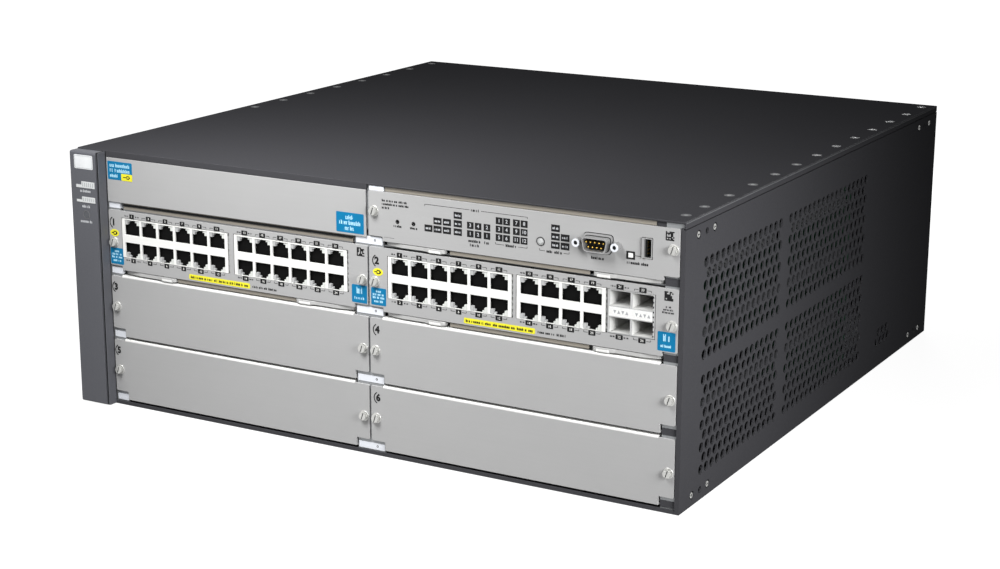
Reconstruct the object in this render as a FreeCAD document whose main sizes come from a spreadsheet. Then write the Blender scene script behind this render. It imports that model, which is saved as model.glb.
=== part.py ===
import FreeCAD, Part
import os
import re
import Sketcher

# Modular chassis switch, four rack units high: six half-width module slots in two columns,
# a management module above the right column, a slide-out fan tray down the left side and
# two power supplies at the back.  Millimetres, +X to the right seen from the front, +Z up,
# front towards -Y.  The origin is the bottom centre of the sheet-metal chassis box.

doc = FreeCAD.newDocument("chassis_switch")

# ---------------------------------------------------------------- driving dimensions

SIZES = {
    "Chassis box": {
        "width": 444.5,            # outside width, between rack brackets
        "depth": 450.9,            # front plane of the faceplates to the rear panel
        "height": 175.3,           # four rack units less the usual gap
        "sheet": 1.2,              # chassis sheet metal
        "cover_flange": 3.4,       # height of the top cover's side flanges
        "cover_lip": 4.3,          # height of the cover's front lip, left half
        "fit_gap": 0.3,            # gap between separate sheets and moving pieces
        "side_hem": 2.95,          # width of the side panels' front hem
        "pan_lip": 2.3,            # front lip of the base pan
    },
    "Module slots": {
        "slot_pitch": 44.45,       # one rack unit
        "slot_floor": 2.6,         # bottom of the lowest slots
        "bezel_width": 23.75,      # status bezel, left of the modules
        "bezel_proud": 8.0,        # bezel in front of the faceplates
        "bezel_wall": 2.0,
        "column_split": 8.28,      # centre of the gap between the columns
        "column_gap": 0.95,
        "module_depth": 262.0,     # faceplate front to midplane
        "face_sheet": 1.5,         # faceplate thickness
        "post_flange": 9.5,        # width of the front flanges behind the faceplate ends
        "lever_band": 3.5,         # height of the ejector levers' band under a faceplate
        "notch_w": 10.0,           # faceplate corner notches
        "notch_rise": 2.8,
        "cover_lift": 1.4,         # slot covers above their slots' floors
        "cover_notch": 5.6,        # height of their corner notches
        "cover_shoulder": 1.0,     # their ends below the folded top edge
        "cover_fold_drop": 0.4,
        "shelf_sheet": 0.9,        # shelf under the management bay
        "mgmt_face_rise": 3.0,     # shelf top to the management faceplate's lower edge
        "mgmt_board_rise": 6.1,    # and to the management board
        "board_sheet": 1.6,        # circuit boards
        "board_rise": 11.3,        # slot floor to the underside of a port module's board
        "guide_depth": 6.0,        # card guide rails
        "guide_wall": 1.4,
        "plug_length": 70.0,       # midplane connectors
        "plug_height": 9.0,
        "plug_depth": 10.0,
    },
    "Frame details": {
        "rear_low_web": 3.0,       # rear panel below the fan tray's opening, and above it
        "rear_high_web": 4.0,
        "panel_fold": 12.0,        # depth of the edges folded back on faceplates and covers
        "bracket_deep": 16.0,      # right front bracket along the side panel
        "slit_gap": 1.0,           # clearance of the boards' slits in the front flanges
        "crossbar_back": 7.0,      # crossbars behind the levers' pivots
        "crossbar_drop": 3.0,
        "crossbar_gap": 0.4,
        "guide_start": 20.0,       # card guides behind the front flanges
        "guide_stop": 14.0,        # and ahead of the midplane
        "midplane_sheet": 2.4,
        "midplane_drop": 2.0,      # midplane's top edge under the cover
        "socket_margin": 3.0,      # midplane sockets beyond the plugs' ends
        "socket_wall": 1.5,
        "bay_front": 12.0,         # power shelf ahead of the supplies
    },
    "Boards": {
        "board_in": 2.0,           # front edge of a board inside its faceplate's ends
        "board_shoulder": 16.0,    # where a board widens, behind the front plane
        "board_wide": 20.0,
        "board_tail": 2.0,         # rear edge ahead of the module's end
        "board_chamfer": 4.0,
        "plug_grip": 8.0,          # plug over the board's rear edge
        "plug_clear": 1.8,         # plug lower than its socket, each side
    },
    "Status bezel": {
        "bezel_drop": 0.8,         # bezel's top below the cover's top
        "bezel_chamfer": 2.0,
        "badge_in": 4.6,           # recess for the badge plate, from the bezel's left side
        "badge_w": 14.3,
        "badge_drop": 2.9,         # and from the chassis top
        "badge_h": 9.6,
        "badge_recess": 0.8,
        "badge_proud": 0.2,
        "lens_in": 4.9,            # windows of the power and fault lenses
        "lens_w": 15.9,
        "power_drop": 20.8,
        "power_h": 4.3,
        "fault_drop": 31.2,
        "fault_h": 3.9,
        "locator_in": 12.2,        # round locator lens
        "locator_drop": 43.4,
        "locator_r": 2.5,
        "lens_gap": 0.1,
        "lens_proud": 0.3,
    },
    "Vents": {
        "vent_pitch": 27.0,        # hexagonal holes on a triangular lattice
        "vent_web": 7.0,           # metal between two holes
        "vent_rows": 3,
        "front_field_in": 42.0,    # first hole of the front fields, behind the front plane
        "front_columns": 4,
        "rear_field_in": 170.0,
        "rear_columns": 5,
        "low_field": 24.5,         # first row of the lower fields, along Z
        "high_field": 95.5,
        "bracket_hole": 2.1,       # radius of the rack bracket's screw holes
        "bracket_front": 29.45,    # hole centres behind the front plane
        "bracket_back": 27.95,     # and before the back plane
        "bracket_low": 6.6,        # above the underside
        "bracket_drop": 10.5,      # and below the top
    },
    "Fan tray": {
        "tray_sheet": 1.0,
        "fan_size": 70.0,
        "fan_thick": 15.0,
        "fan_side": 2.0,           # fans off the left side panel
        "fan_bore": 33.0,          # radius of the air opening
        "fan_pitch_y": 130.0,
        "fan_pitch_z": 71.0,
        "fan_first_in": 85.45,     # first fan's centre behind the front plane
        "fan_first_z": 49.0,
        "hub_radius": 13.0,
        "blade_tip": 31.5,
        "blade_sheet": 1.4,
        "blade_count": 5,
        "strut_w": 4.0,
        "strut_root": 1.0,         # struts run into the housing
        "rotor_gap": 2.0,          # rotor behind the housing's open side
        "blade_run": 9.0,          # sweep of a blade over its length
        "blade_root": 1.5,         # blades run into the hub
        "tray_margin": 3.0,        # tray sheet ahead of the first fan
        "tray_grip_in": 9.0,       # handle, from the left side panel
        "tray_handle_z": 90.0,
        "tray_lean": 6.0,          # rise of the handle's sloping legs
        "motor_thick": 3.0,
        "tray_handle": 60.0,
        "handle_reach": 22.0,
        "handle_bar": 5.0,
    },
    "Power supplies": {
        "supply_height": 82.0,
        "supply_depth": 160.0,
        "supply_clear": 8.5,       # fan partition to the left supply
        "supply_side": 15.05,      # right supply to the side panel
        "supply_gap": 4.0,         # space for the divider between the supplies
        "inlet_w": 28.0,
        "inlet_h": 21.0,
        "inlet_depth": 18.0,
        "inlet_wall": 2.4,
        "inlet_floor": 2.0,
        "inlet_pin_step": 7.0,     # outer contacts from the middle one
        "inlet_pin_drop": 2.0,     # outer contacts below the middle of the inlet
        "inlet_pin_rise": 3.0,     # middle contact above it
        "inlet_pin_w": 2.0,
        "inlet_pin_h": 4.0,
        "inlet_pin_back": 5.0,     # contacts' tips inside the inlet's mouth
        "supply_proud": 0.8,       # rear face behind the chassis's back plane
        "inlet_in": 44.0,          # inlet's left side from the supply's right side
        "inlet_rise": 12.0,
        "grip_in": 74.0,           # handle, from the supply's right side
        "grip_span": 63.0,
        "grip_rise": 49.0,
        "grip_lean": 5.0,          # run of the handle's sloping legs
        "slot_in": 18.0,           # exhaust slots from the supply's left side
        "slot_rise": 14.0,
        "slot_deep": 6.8,
        "slot_w": 60.0,
        "slot_h": 3.0,
        "slot_step": 9.0,
        "slot_count": 7,
    },
    "Ports": {
        "jack_pitch": 14.02,
        "jack_w": 12.3,            # socket opening
        "jack_body": 7.0,
        "jack_latch_w": 6.0,       # latch notch
        "jack_latch": 2.8,
        "jack_depth": 13.0,
        "jack_upper_rise": 28.2,   # slot floor to the bottom of the upper row's openings
        "jack_lower_rise": 16.1,
        "bank_rise": 13.0,         # slot floor to the underside of the housings
        "bank_height": 26.0,
        "bank_margin": 8.6,        # first socket's centre from the housing's end
        "bank_deep": 24.0,
        "bank_proud": 0.2,         # housings and cages ahead of the faceplate
        "bank_gap": 0.1,
        "bank_in_1": 11.2,         # left end of module 1 to its first housing
        "bank_step_1": 92.2,
        "bank_in_2": 13.845,
        "bank_step_2": 90.6,
        "jacks_full": 6,
        "jacks_short": 4,
        "cage_in": 15.0,           # right end of module 2 to the transceiver cages
        "cage_w": 13.5,
        "cage_h": 8.5,
        "cage_wall": 1.0,
        "cage_step": 14.5,
        "cage_rise": 13.5,         # slot floor to the lower cages
        "cage_row": 16.0,
        "cage_depth": 48.0,
        "cage_bore": 45.0,
    },
    "Management face": {
        "console_in": 51.7,        # right end of the module to the connector's centre
        "console_rise": 16.6,      # and above the faceplate's lower edge
        "console_w": 16.9,
        "console_h": 8.4,
        "console_proud": 6.0,
        "console_wall": 0.8,
        "console_deep": 12.0,      # shell behind the faceplate's front
        "console_slant": 1.6,      # run of the D outline's sloping sides
        "console_corner": 1.0,
        "console_sunk": 1.0,       # floor of the connector behind the faceplate's front
        "console_pitch": 2.77,     # contacts along a row
        "console_rows": 2.84,
        "console_pin": 1.0,
        "console_flange_w": 30.0,
        "console_flange_h": 11.0,
        "console_flange_t": 1.0,
        "jackscrew_past": 0.5,     # jackscrews beyond the connector's shell
        "jackscrew_span": 25.0,
        "jackscrew_r": 2.4,
        "usb_in": 24.0,
        "usb_rise": 11.5,
        "usb_w": 6.5,
        "usb_h": 12.0,
        "usb_depth": 14.0,
        "usb_wall": 0.7,
        "usb_floor": 1.5,
        "mode_in": 89.7,
        "mode_rise": 13.3,
        "mode_r": 2.3,
        "reset_in": 21.245,        # left end of the module to the reset button
        "clear_step": 11.5,
        "pinhole_rise": 13.4,
        "pinhole_r": 1.3,
        "mode_proud": 0.8,         # mode button in front of the faceplate
        "pin_sunk": 0.6,           # reset and clear buttons behind it
        "button_length": 4.2,
        "tiles_rise": 10.0,        # status windows above the faceplate's lower edge
        "tiles_height": 14.9,
        "tiles_in": 40.445,        # left end of the module to the first window
        "module_tiles": 40.1,      # widths of the four windows and the gaps between them
        "state_gap": 1.1,
        "state_tiles": 5.2,
        "supply_tiles_gap": 3.1,
        "supply_tiles": 21.8,
        "mode_tiles_gap": 15.5,
        "mode_tiles": 12.4,
        "tile_sunk": 0.3,          # status windows behind the faceplate's front
        "display_sheet": 3.0,
        "display_margin": 1.0,
        "display_space": 5.0,      # display and the gap behind it, ahead of the board
    },
    "Levers and screws": {
        "lever_reach": 55.0,       # faceplate end to the thumb's end
        "lever_pivot_in": 15.0,    # pivot from the faceplate's end
        "lever_pivot_back": 6.0,   # pivot behind the front plane
        "lever_sheet": 2.4,
        "lever_floor": 0.7,        # lever above its slot's floor
        "lever_bar": 5.0,
        "lever_eye": 4.3,          # eight-sided eye round the pivot: half its width
        "lever_eye_flat": 1.8,     # and half of one flat
        "lever_root": 4.0,         # where the bar's front edge meets the faceplate
        "lever_neck": 5.5,         # where its back edge leaves the eye
        "lever_corner": 2.0,
        "thumb_w": 13.0,           # thumb in front of the faceplate, and its sloping root
        "thumb_run": 15.0,
        "thumb_proud": 0.8,
        "pin_r": 1.5,
        "pin_gap": 0.05,
        "screw_head": 3.5,
        "screw_proud": 4.8,
        "screw_in": 4.2,           # screw centre from the faceplate's end
        "screw_rise": 22.2,        # and above the slot's floor
        "mgmt_screw_rise": 18.5,   # above the management faceplate's lower edge
    },
}

sheet = doc.addObject("Spreadsheet::Sheet", "Dims")
row = 1
for group in SIZES:
    sheet.set("A%d" % row, group)
    row += 1
    for name in SIZES[group]:
        sheet.set("A%d" % row, name)
        sheet.set("B%d" % row, str(SIZES[group][name]))
        sheet.setAlias("B%d" % row, name)
        row += 1

# Places that several pieces share, worked out once from the driving dimensions.
DERIVED = {
    "half_w": "width / 2",
    "front": "-depth / 2",
    "back": "depth / 2",
    "inner_x": "half_w - sheet",
    "under_cover": "height - sheet",
    "side_top": "height - cover_flange - fit_gap",
    "bezel_right": "-half_w + bezel_width",
    "wall_x": "bezel_right - sheet",
    "col1_l": "bezel_right + fit_gap",
    "col1_r": "column_split - column_gap / 2",
    "col2_l": "column_split + column_gap / 2",
    "col2_r": "half_w - side_hem - fit_gap",
    "web_l": "column_split - sheet / 2",
    "web_r": "column_split + sheet / 2",
    "post_y": "front + face_sheet",
    "cage_top": "slot_floor + 3 * slot_pitch",
    "shelf_z": "cage_top + fit_gap / 2",
    "mgmt_floor": "shelf_z + shelf_sheet",
    "midplane_y": "front + module_depth + plug_depth + fit_gap",
    "board_y": "front + face_sheet",
    "board_end": "front + module_depth",
    "mgmt_board": "mgmt_floor + mgmt_board_rise",
    "mgmt_face_z": "mgmt_floor + mgmt_face_rise",
    "slot_1_z": "slot_floor + 2 * slot_pitch",
    "guide_rise": "board_rise - fit_gap - guide_wall",
    "guide_h": "board_sheet + 2 * fit_gap + 2 * guide_wall",
    "supply_y": "back - supply_depth",
    "supply_z": "sheet + fit_gap",
    "supply_top": "supply_z + supply_height",
    "supply_left": "bezel_right + supply_clear",
    "supply_width": "(inner_x - supply_side - supply_gap - supply_left) / 2",
    "supply_2": "supply_left + supply_width + supply_gap",
    "fan_x": "-inner_x + fan_side",
    "tray_low": "sheet + rear_low_web + fit_gap",
    "tray_high": "side_top - rear_high_web - fit_gap",
    "tray_x": "fan_x + fan_thick",
    "fan_first_y": "front + fan_first_in",
    "front_field": "front + front_field_in",
    "rear_field": "front + rear_field_in",
    "bracket_high": "height - bracket_drop",
    "mgmt_face_top": "height - cover_lip",
    "jack_upper": "slot_1_z + jack_upper_rise",
    "jack_lower": "slot_1_z + jack_lower_rise",
    "bank_low": "slot_1_z + bank_rise",
    "bank_high": "bank_low + bank_height",
    "bank_1a": "col1_l + bank_in_1",
    "bank_1b": "bank_1a + bank_step_1",
    "bank_2a": "col2_l + bank_in_2",
    "bank_2b": "bank_2a + bank_step_2",
    "cage_left": "col2_r - cage_in - 2 * cage_w - 3 * cage_wall",
    "cage_low": "slot_1_z + cage_rise",
    "cage_high": "cage_low + cage_row",
    "console_x": "col2_r - console_in",
    "console_z": "mgmt_face_z + console_rise",
    "usb_x": "col2_r - usb_in",
    "usb_z": "mgmt_face_z + usb_rise",
    "mode_x": "col2_r - mode_in",
    "mode_z": "mgmt_face_z + mode_rise",
    "reset_x": "col2_l + reset_in",
    "clear_x": "reset_x + clear_step",
    "pinhole_z": "mgmt_face_z + pinhole_rise",
    "tiles_low": "mgmt_face_z + tiles_rise",
    "tiles_high": "tiles_low + tiles_height",
    "mgmt_screw_z": "mgmt_face_z + mgmt_screw_rise",
}
row = 1
for name in DERIVED:
    sheet.set("D%d" % row, name)
    sheet.set("E%d" % row, "=" + DERIVED[name])
    sheet.setAlias("E%d" % row, name)
    row += 1
doc.recompute()

ALIASES = set(DERIVED)
for group in SIZES:
    ALIASES.update(SIZES[group])


def bound(formula):
    """A formula of the sheet's names as an expression that other objects can use."""
    def qualify(match):
        word = match.group(0)
        return "Dims." + word if word in ALIASES else word
    return re.sub(r"[A-Za-z_][A-Za-z_0-9]*", qualify, str(formula))


def number(formula):
    """The formula's present value."""
    return float(sheet.evalExpression(bound(formula)))


# ---------------------------------------------------------------- construction helpers

ROLE = {"XY": "XY_Plane", "XZ": "XZ_Plane", "YZ": "YZ_Plane"}


def new_body(label):
    body = doc.addObject("PartDesign::Body", label)
    body.Label = label
    return body


def sketch_on(body, plane, start, outlines):
    """A fully constrained sketch of closed outlines, on a plane at height start."""
    sk = body.newObject("Sketcher::SketchObject", body.Name + "_outline")
    origin_plane = [f for f in body.Origin.OriginFeatures if f.Role == ROLE[plane]][0]
    sk.AttachmentSupport = [(origin_plane, "")]
    sk.MapMode = "FlatFace"
    sign = "-" if plane == "XZ" else ""
    sk.setExpression("AttachmentOffset.Base.z", "%s(%s)" % (sign, bound(start)))
    for outline in outlines:
        first = sk.GeometryCount
        spots = [(number(u), number(v)) for u, v in outline]
        count = len(spots)
        for i in range(count):
            a = FreeCAD.Vector(spots[i][0], spots[i][1], 0)
            b = FreeCAD.Vector(spots[(i + 1) % count][0], spots[(i + 1) % count][1], 0)
            sk.addGeometry(Part.LineSegment(a, b))
        links = [
            Sketcher.Constraint("Coincident", first + i, 2, first + (i + 1) % count, 1)
            for i in range(count)
        ]
        sk.addConstraint(links)
        for i in range(count):
            for kind, axis, value in (
                ("DistanceX", "u", 0),
                ("DistanceY", "v", 1),
            ):
                index = sk.addConstraint(
                    Sketcher.Constraint(kind, -1, 1, first + i, 1, spots[i][value])
                )
                name = "%s%d" % (axis, first + i)
                sk.renameConstraint(index, name)
                sk.setExpression("Constraints." + name, bound(outline[i][value]))
    return sk


def pad(body, plane, start, length, outlines):
    """Adds the outlines' prism, from start towards the plane's positive axis."""
    sk = sketch_on(body, plane, start, outlines)
    feature = body.newObject("PartDesign::Pad", body.Name + "_pad")
    feature.Profile = sk
    feature.Reversed = plane == "XZ"
    feature.setExpression("Length", bound(length))
    return feature


def pocket(body, plane, start, length, outlines):
    """Cuts the outlines' prism, from start towards the plane's positive axis."""
    sk = sketch_on(body, plane, start, outlines)
    feature = body.newObject("PartDesign::Pocket", body.Name + "_pocket")
    feature.Profile = sk
    feature.Type = 0
    feature.Reversed = plane != "XZ"
    feature.setExpression("Length", bound(length))
    return feature


def repeat(body, feature, axis, step, count):
    """Repeats a feature along a line."""
    pattern = body.newObject("PartDesign::LinearPattern", body.Name + "_row")
    pattern.Originals = [feature]
    role = [f for f in body.Origin.OriginFeatures if f.Role == axis + "_Axis"][0]
    pattern.Direction = (role, [""])
    pattern.Mode = 1
    pattern.setExpression("Offset", bound(step))
    pattern.setExpression("Occurrences", bound(count))
    body.Tip = pattern
    return pattern


def rect(u0, v0, u1, v1):
    """A rectangle's outline between two corners."""
    return [(u0, v0), (u1, v0), (u1, v1), (u0, v1)]


def spot(base, offset):
    return "(%s) + (%s)" % (base, offset)


def box(label, x0, x1, y0, y1, z0, z1):
    block = doc.addObject("Part::Box", label)
    block.Label = label
    for side, low, high in (("Length", x0, x1), ("Width", y0, y1), ("Height", z0, z1)):
        block.setExpression(side, bound("(%s) - (%s)" % (high, low)))
    for axis, low in (("x", x0), ("y", y0), ("z", z0)):
        block.setExpression("Placement.Base." + axis, bound(low))
    return block


def set_place(piece, x, y, z):
    for axis, value in (("x", x), ("y", y), ("z", z)):
        piece.setExpression("Placement.Base." + axis, bound(value))


def round_bar(label, axis, radius, length, x, y, z):
    """A cylinder from (x, y, z) along +X, +Y or +Z."""
    bar = doc.addObject("Part::Cylinder", label)
    bar.Label = label
    bar.setExpression("Radius", bound(radius))
    bar.setExpression("Height", bound(length))
    turns = {
        "X": FreeCAD.Rotation(FreeCAD.Vector(0, 1, 0), 90),
        "Y": FreeCAD.Rotation(FreeCAD.Vector(1, 0, 0), -90),
        "Z": FreeCAD.Rotation(),
    }
    bar.Placement = FreeCAD.Placement(FreeCAD.Vector(), turns[axis])
    set_place(bar, x, y, z)
    return bar


def faceted_head(label, radius, length, x, y, z):
    """A faceted screw head standing out of a faceplate towards -Y."""
    head = doc.addObject("Part::Prism", label)
    head.Label = label
    head.Polygon = 8
    head.setExpression("Circumradius", bound(radius))
    head.setExpression("Height", bound(length))
    head.Placement = FreeCAD.Placement(
        FreeCAD.Vector(), FreeCAD.Rotation(FreeCAD.Vector(1, 0, 0), 90)
    )
    set_place(head, x, y, z)
    return head


def joined(label, pieces):
    union = doc.addObject("Part::MultiFuse", label)
    union.Label = label
    union.Shapes = pieces
    return union


def group_of(label, pieces):
    """Identical separate pieces kept in one node."""
    group = doc.addObject("Part::Compound", label)
    group.Label = label
    group.Links = pieces
    return group


def less(label, base, tool):
    piece = doc.addObject("Part::Cut", label)
    piece.Label = label
    piece.Base = base
    piece.Tool = tool
    return piece


NODES = []


def keep(piece):
    """Marks a finished sub-part for export under its Label."""
    NODES.append(piece)
    return piece


# ---------------------------------------------------------------- chassis sheets


def base_pan():
    """Bottom plate with a front lip turned up below the lowest modules."""
    pan = new_body("base_pan")
    pad(pan, "YZ", "-half_w", "width", [rect("front", "0", "back", "sheet")])
    lip_end = "(half_w - side_hem - fit_gap)"
    pad(pan, "YZ", "-" + lip_end, "2 * " + lip_end, [
        rect("front", "sheet / 2", "front + sheet", "pan_lip"),
    ])
    return keep(pan)


def top_cover():
    """Top plate with shallow side flanges and a front lip over the fixed front panel."""
    cover = new_body("top_cover")
    flange_z = "height - cover_flange"
    pad(cover, "XZ", "front", "depth", [[
        ("-half_w", "height"), ("-half_w", flange_z), ("-inner_x", flange_z),
        ("-inner_x", "under_cover"), ("inner_x", "under_cover"), ("inner_x", flange_z),
        ("half_w", flange_z), ("half_w", "height"),
    ]])
    pad(cover, "XZ", "front", "sheet",
        [rect("col1_l", "height - cover_lip", "col1_r", "height - sheet / 2")])
    return keep(cover)


def vent_field(panel, first_y, first_z, columns, x_start):
    """One triangular lattice of hexagonal holes: the whole rows, then the offset ones."""
    corner = "(vent_pitch - vent_web) / 2 / cos(30)"
    rows = int(number("vent_rows"))
    for shift in (0, 1):
        middle_y = spot(first_y, "%d * vent_pitch / 2" % shift)
        column = []
        for k in range(shift, rows, 2):
            middle_z = spot(first_z, "%d * vent_pitch * cos(30)" % k)
            column.append([
                (spot(middle_y, "%s * cos(%d)" % (corner, angle)),
                 spot(middle_z, "%s * sin(%d)" % (corner, angle)))
                for angle in range(30, 390, 60)
            ])
        holes = pocket(panel, "YZ", x_start + " - 1", "sheet + 2", column)
        doc.recompute()
        repeat(panel, holes, "Y", "vent_pitch", "%s - %d" % (columns, shift))


def side_panels():
    """Perforated side sheets with a narrow hem at the front and rack bracket holes."""
    panel = new_body("perforated_sheet")
    hem = "half_w - side_hem"
    pad(panel, "XY", "sheet", "side_top - sheet", [[
        ("half_w", "front"), ("half_w", "back"), ("inner_x", "back"),
        ("inner_x", "front + sheet"), (hem, "front + sheet"), (hem, "front"),
    ]])
    for first_z in ("low_field", "high_field"):
        vent_field(panel, "front_field", first_z, "front_columns", "inner_x")
        vent_field(panel, "rear_field", first_z, "rear_columns", "inner_x")
    holes = []
    for y in ("front + bracket_front", "back - bracket_back"):
        for z in ("bracket_low", "bracket_high"):
            holes.append(round_bar("bracket_hole", "X", "bracket_hole", "sheet + 2",
                                   "inner_x - 1", y, z))
    right = keep(less("side_panel_right", panel, joined("bracket_holes", holes)))
    left = doc.addObject("Part::Mirroring", "side_panel_left")
    left.Label = "side_panel_left"
    left.Source = right
    left.Normal = FreeCAD.Vector(1, 0, 0)
    keep(left)


def rear_panel():
    """Back plate with openings for the fan tray and the two power supplies."""
    plate = new_body("rear_panel")
    pad(plate, "XZ", "back - sheet", "sheet", [
        rect("-inner_x", "sheet", "inner_x", "under_cover"),
        rect("-inner_x + fit_gap", "tray_low - fit_gap", "wall_x", "tray_high + fit_gap"),
        rect("supply_left - fit_gap", "supply_z - fit_gap / 2",
             "supply_left + supply_width + fit_gap", "supply_top + fit_gap"),
        rect("supply_2 - fit_gap", "supply_z - fit_gap / 2",
             "supply_2 + supply_width + fit_gap", "supply_top + fit_gap"),
    ])
    return keep(plate)


def upper_left_panel():
    """Fixed front panel above the left column, with its top edge turned back."""
    panel = new_body("upper_left_panel")
    low = "mgmt_face_z"
    high = "height - cover_lip - fit_gap"
    fold = "front + panel_fold"
    pad(panel, "YZ", "col1_l", "col1_r - col1_l", [[
        ("front", low), (fold, low), (fold, low + " + face_sheet"),
        ("post_y", low + " + face_sheet"), ("post_y", high + " - face_sheet"),
        (fold, high + " - face_sheet"), (fold, high), ("front", high),
    ]])
    pocket(panel, "XY", low + " - 1", "height", [
        rect("col1_l - sheet", "post_y", "col1_l + notch_w", fold + " + sheet"),
        rect("col1_r - notch_w", "post_y", "col1_r + sheet", fold + " + sheet"),
    ])
    return keep(panel)


def flange_notches(body, x0, x1):
    """Gaps in a front flange that let the circuit boards slide through."""
    low = "slot_floor + board_rise - slit_gap"
    through = "post_y - front + face_sheet + fit_gap"
    gap = pocket(body, "XZ", "front", through,
                 [rect(x0, low, x1, low + " + board_sheet + 2 * slit_gap")])
    doc.recompute()
    repeat(body, gap, "Z", "slot_pitch", "3")
    pocket(body, "XZ", "front", through,
           [rect(x0, "mgmt_board - slit_gap", x1, "mgmt_board + board_sheet + slit_gap")])


def fan_partition():
    """Wall between the left column and the fan tray: air windows and a front flange."""
    wall = new_body("fan_partition")
    flange = "bezel_right + post_flange"
    back_y = "post_y + face_sheet"
    pad(wall, "XY", "sheet", "under_cover - sheet", [[
        ("wall_x", "post_y"), (flange, "post_y"), (flange, back_y), ("bezel_right", back_y),
        ("bezel_right", "midplane_y - fit_gap"), ("wall_x", "midplane_y - fit_gap"),
    ]])
    half = "fan_bore"
    windows = []
    for i in range(2):
        for k in range(2):
            y = "(fan_first_y + %d * fan_pitch_y)" % i
            z = "(fan_first_z + %d * fan_pitch_z)" % k
            windows.append(rect("%s - %s" % (y, half), "%s - %s" % (z, half),
                                "%s + %s" % (y, half), "%s + %s" % (z, half)))
    pocket(wall, "YZ", "wall_x - 1", "sheet + 2", windows)
    flange_notches(wall, "bezel_right", flange + " + 1")
    return keep(wall)


def centre_divider():
    """Wall between the columns, with a front flange to both sides for the screws."""
    wall = new_body("centre_divider")
    left = "col1_r - notch_w + fit_gap"
    right = "col2_l + notch_w - fit_gap"
    back_y = "post_y + face_sheet"
    pad(wall, "XY", "sheet", "under_cover - sheet", [[
        (left, "post_y"), (right, "post_y"), (right, back_y), ("web_r", back_y),
        ("web_r", "midplane_y - fit_gap"), ("web_l", "midplane_y - fit_gap"),
        ("web_l", back_y), (left, back_y),
    ]])
    flange_notches(wall, left + " - 1", "web_l")
    flange_notches(wall, "web_r", right + " + 1")
    return keep(wall)


def right_bracket():
    """Front bracket on the right side panel that takes the faceplates' screws."""
    bracket = new_body("right_front_bracket")
    left = "col2_r - post_flange"
    back_y = "post_y + face_sheet"
    pad(bracket, "XY", "sheet", "under_cover - sheet", [[
        (left, "post_y"), ("inner_x", "post_y"), ("inner_x", "post_y + bracket_deep"),
        ("inner_x - face_sheet", "post_y + bracket_deep"), ("inner_x - face_sheet", back_y),
        (left, back_y),
    ]])
    flange_notches(bracket, left + " - 1", "col2_r")
    return keep(bracket)


def upper_shelf():
    """Shelf between the top modules and the management bay, lipped up on the left."""
    shelf = new_body("upper_shelf_left")
    start = "post_y + face_sheet + fit_gap"
    end = "midplane_y - fit_gap"
    left = "bezel_right"
    right = "inner_x - face_sheet"
    pad(shelf, "XY", "shelf_z", "shelf_sheet", [[
        (left, start), ("web_l", start), ("web_l", end), (left, end),
    ]])
    pad(shelf, "XY", "shelf_z", "mgmt_face_z - shelf_z - fit_gap", [
        rect(left + " + post_flange", start, "web_l - post_flange", start + " + sheet"),
    ])
    right_half = new_body("upper_shelf_right")
    pad(right_half, "XY", "shelf_z", "shelf_sheet", [rect("web_r", start, right, end)])
    return keep(group_of("upper_shelf", [shelf, right_half]))


def slot_crossbars():
    """Flat bars across each column below the module slots, behind the ejector levers."""
    bars = []
    y0 = "front + lever_pivot_back + crossbar_back"
    spans = (("left", "bezel_right", "web_l"), ("right", "web_r", "inner_x - face_sheet"))
    for k in (1, 2):
        floor = "(slot_floor + %d * slot_pitch)" % k
        for side, x0, x1 in spans:
            bars.append(box("crossbar_%s_%d" % (side, k), x0, x1, y0, y0 + " + sheet",
                            floor + " - crossbar_drop", floor + " + lever_band - crossbar_gap"))
    return keep(group_of("slot_crossbars", bars))


def guide_rail(label, x_wall, direction, floor, length_from):
    """A channel that holds one edge of a board; it stands on the wall at x_wall."""
    rail = new_body(label)
    edge = "%s %s guide_depth" % (x_wall, direction)
    web = "%s %s guide_wall" % (x_wall, direction)
    low = "(%s)" % floor
    pad(rail, "XZ", length_from, "midplane_y - guide_stop - (%s)" % length_from, [[
        (x_wall, low), (edge, low), (edge, low + " + guide_wall"),
        (web, low + " + guide_wall"), (web, low + " + guide_h - guide_wall"),
        (edge, low + " + guide_h - guide_wall"), (edge, low + " + guide_h"),
        (x_wall, low + " + guide_h"),
    ]])
    return rail


def card_guides():
    """Guide rails on both walls of both columns, and for the management board."""
    rails = []
    start = "post_y + face_sheet + guide_start"
    walls = (("bezel_right", "+", "1"), ("web_l", "-", "2"),
             ("web_r", "+", "3"), ("inner_x", "-", "4"))
    for x_wall, direction, tag in walls:
        for k in range(3):
            floor = "slot_floor + %d * slot_pitch + guide_rise" % k
            rails.append(guide_rail("guide_%s_%d" % (tag, k), x_wall, direction, floor, start))
    for x_wall, direction, tag in walls[2:]:
        floor = "mgmt_board - fit_gap - guide_wall"
        rails.append(guide_rail("guide_%s_top" % tag, x_wall, direction, floor, start))
    return keep(group_of("card_guides", rails))


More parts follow.
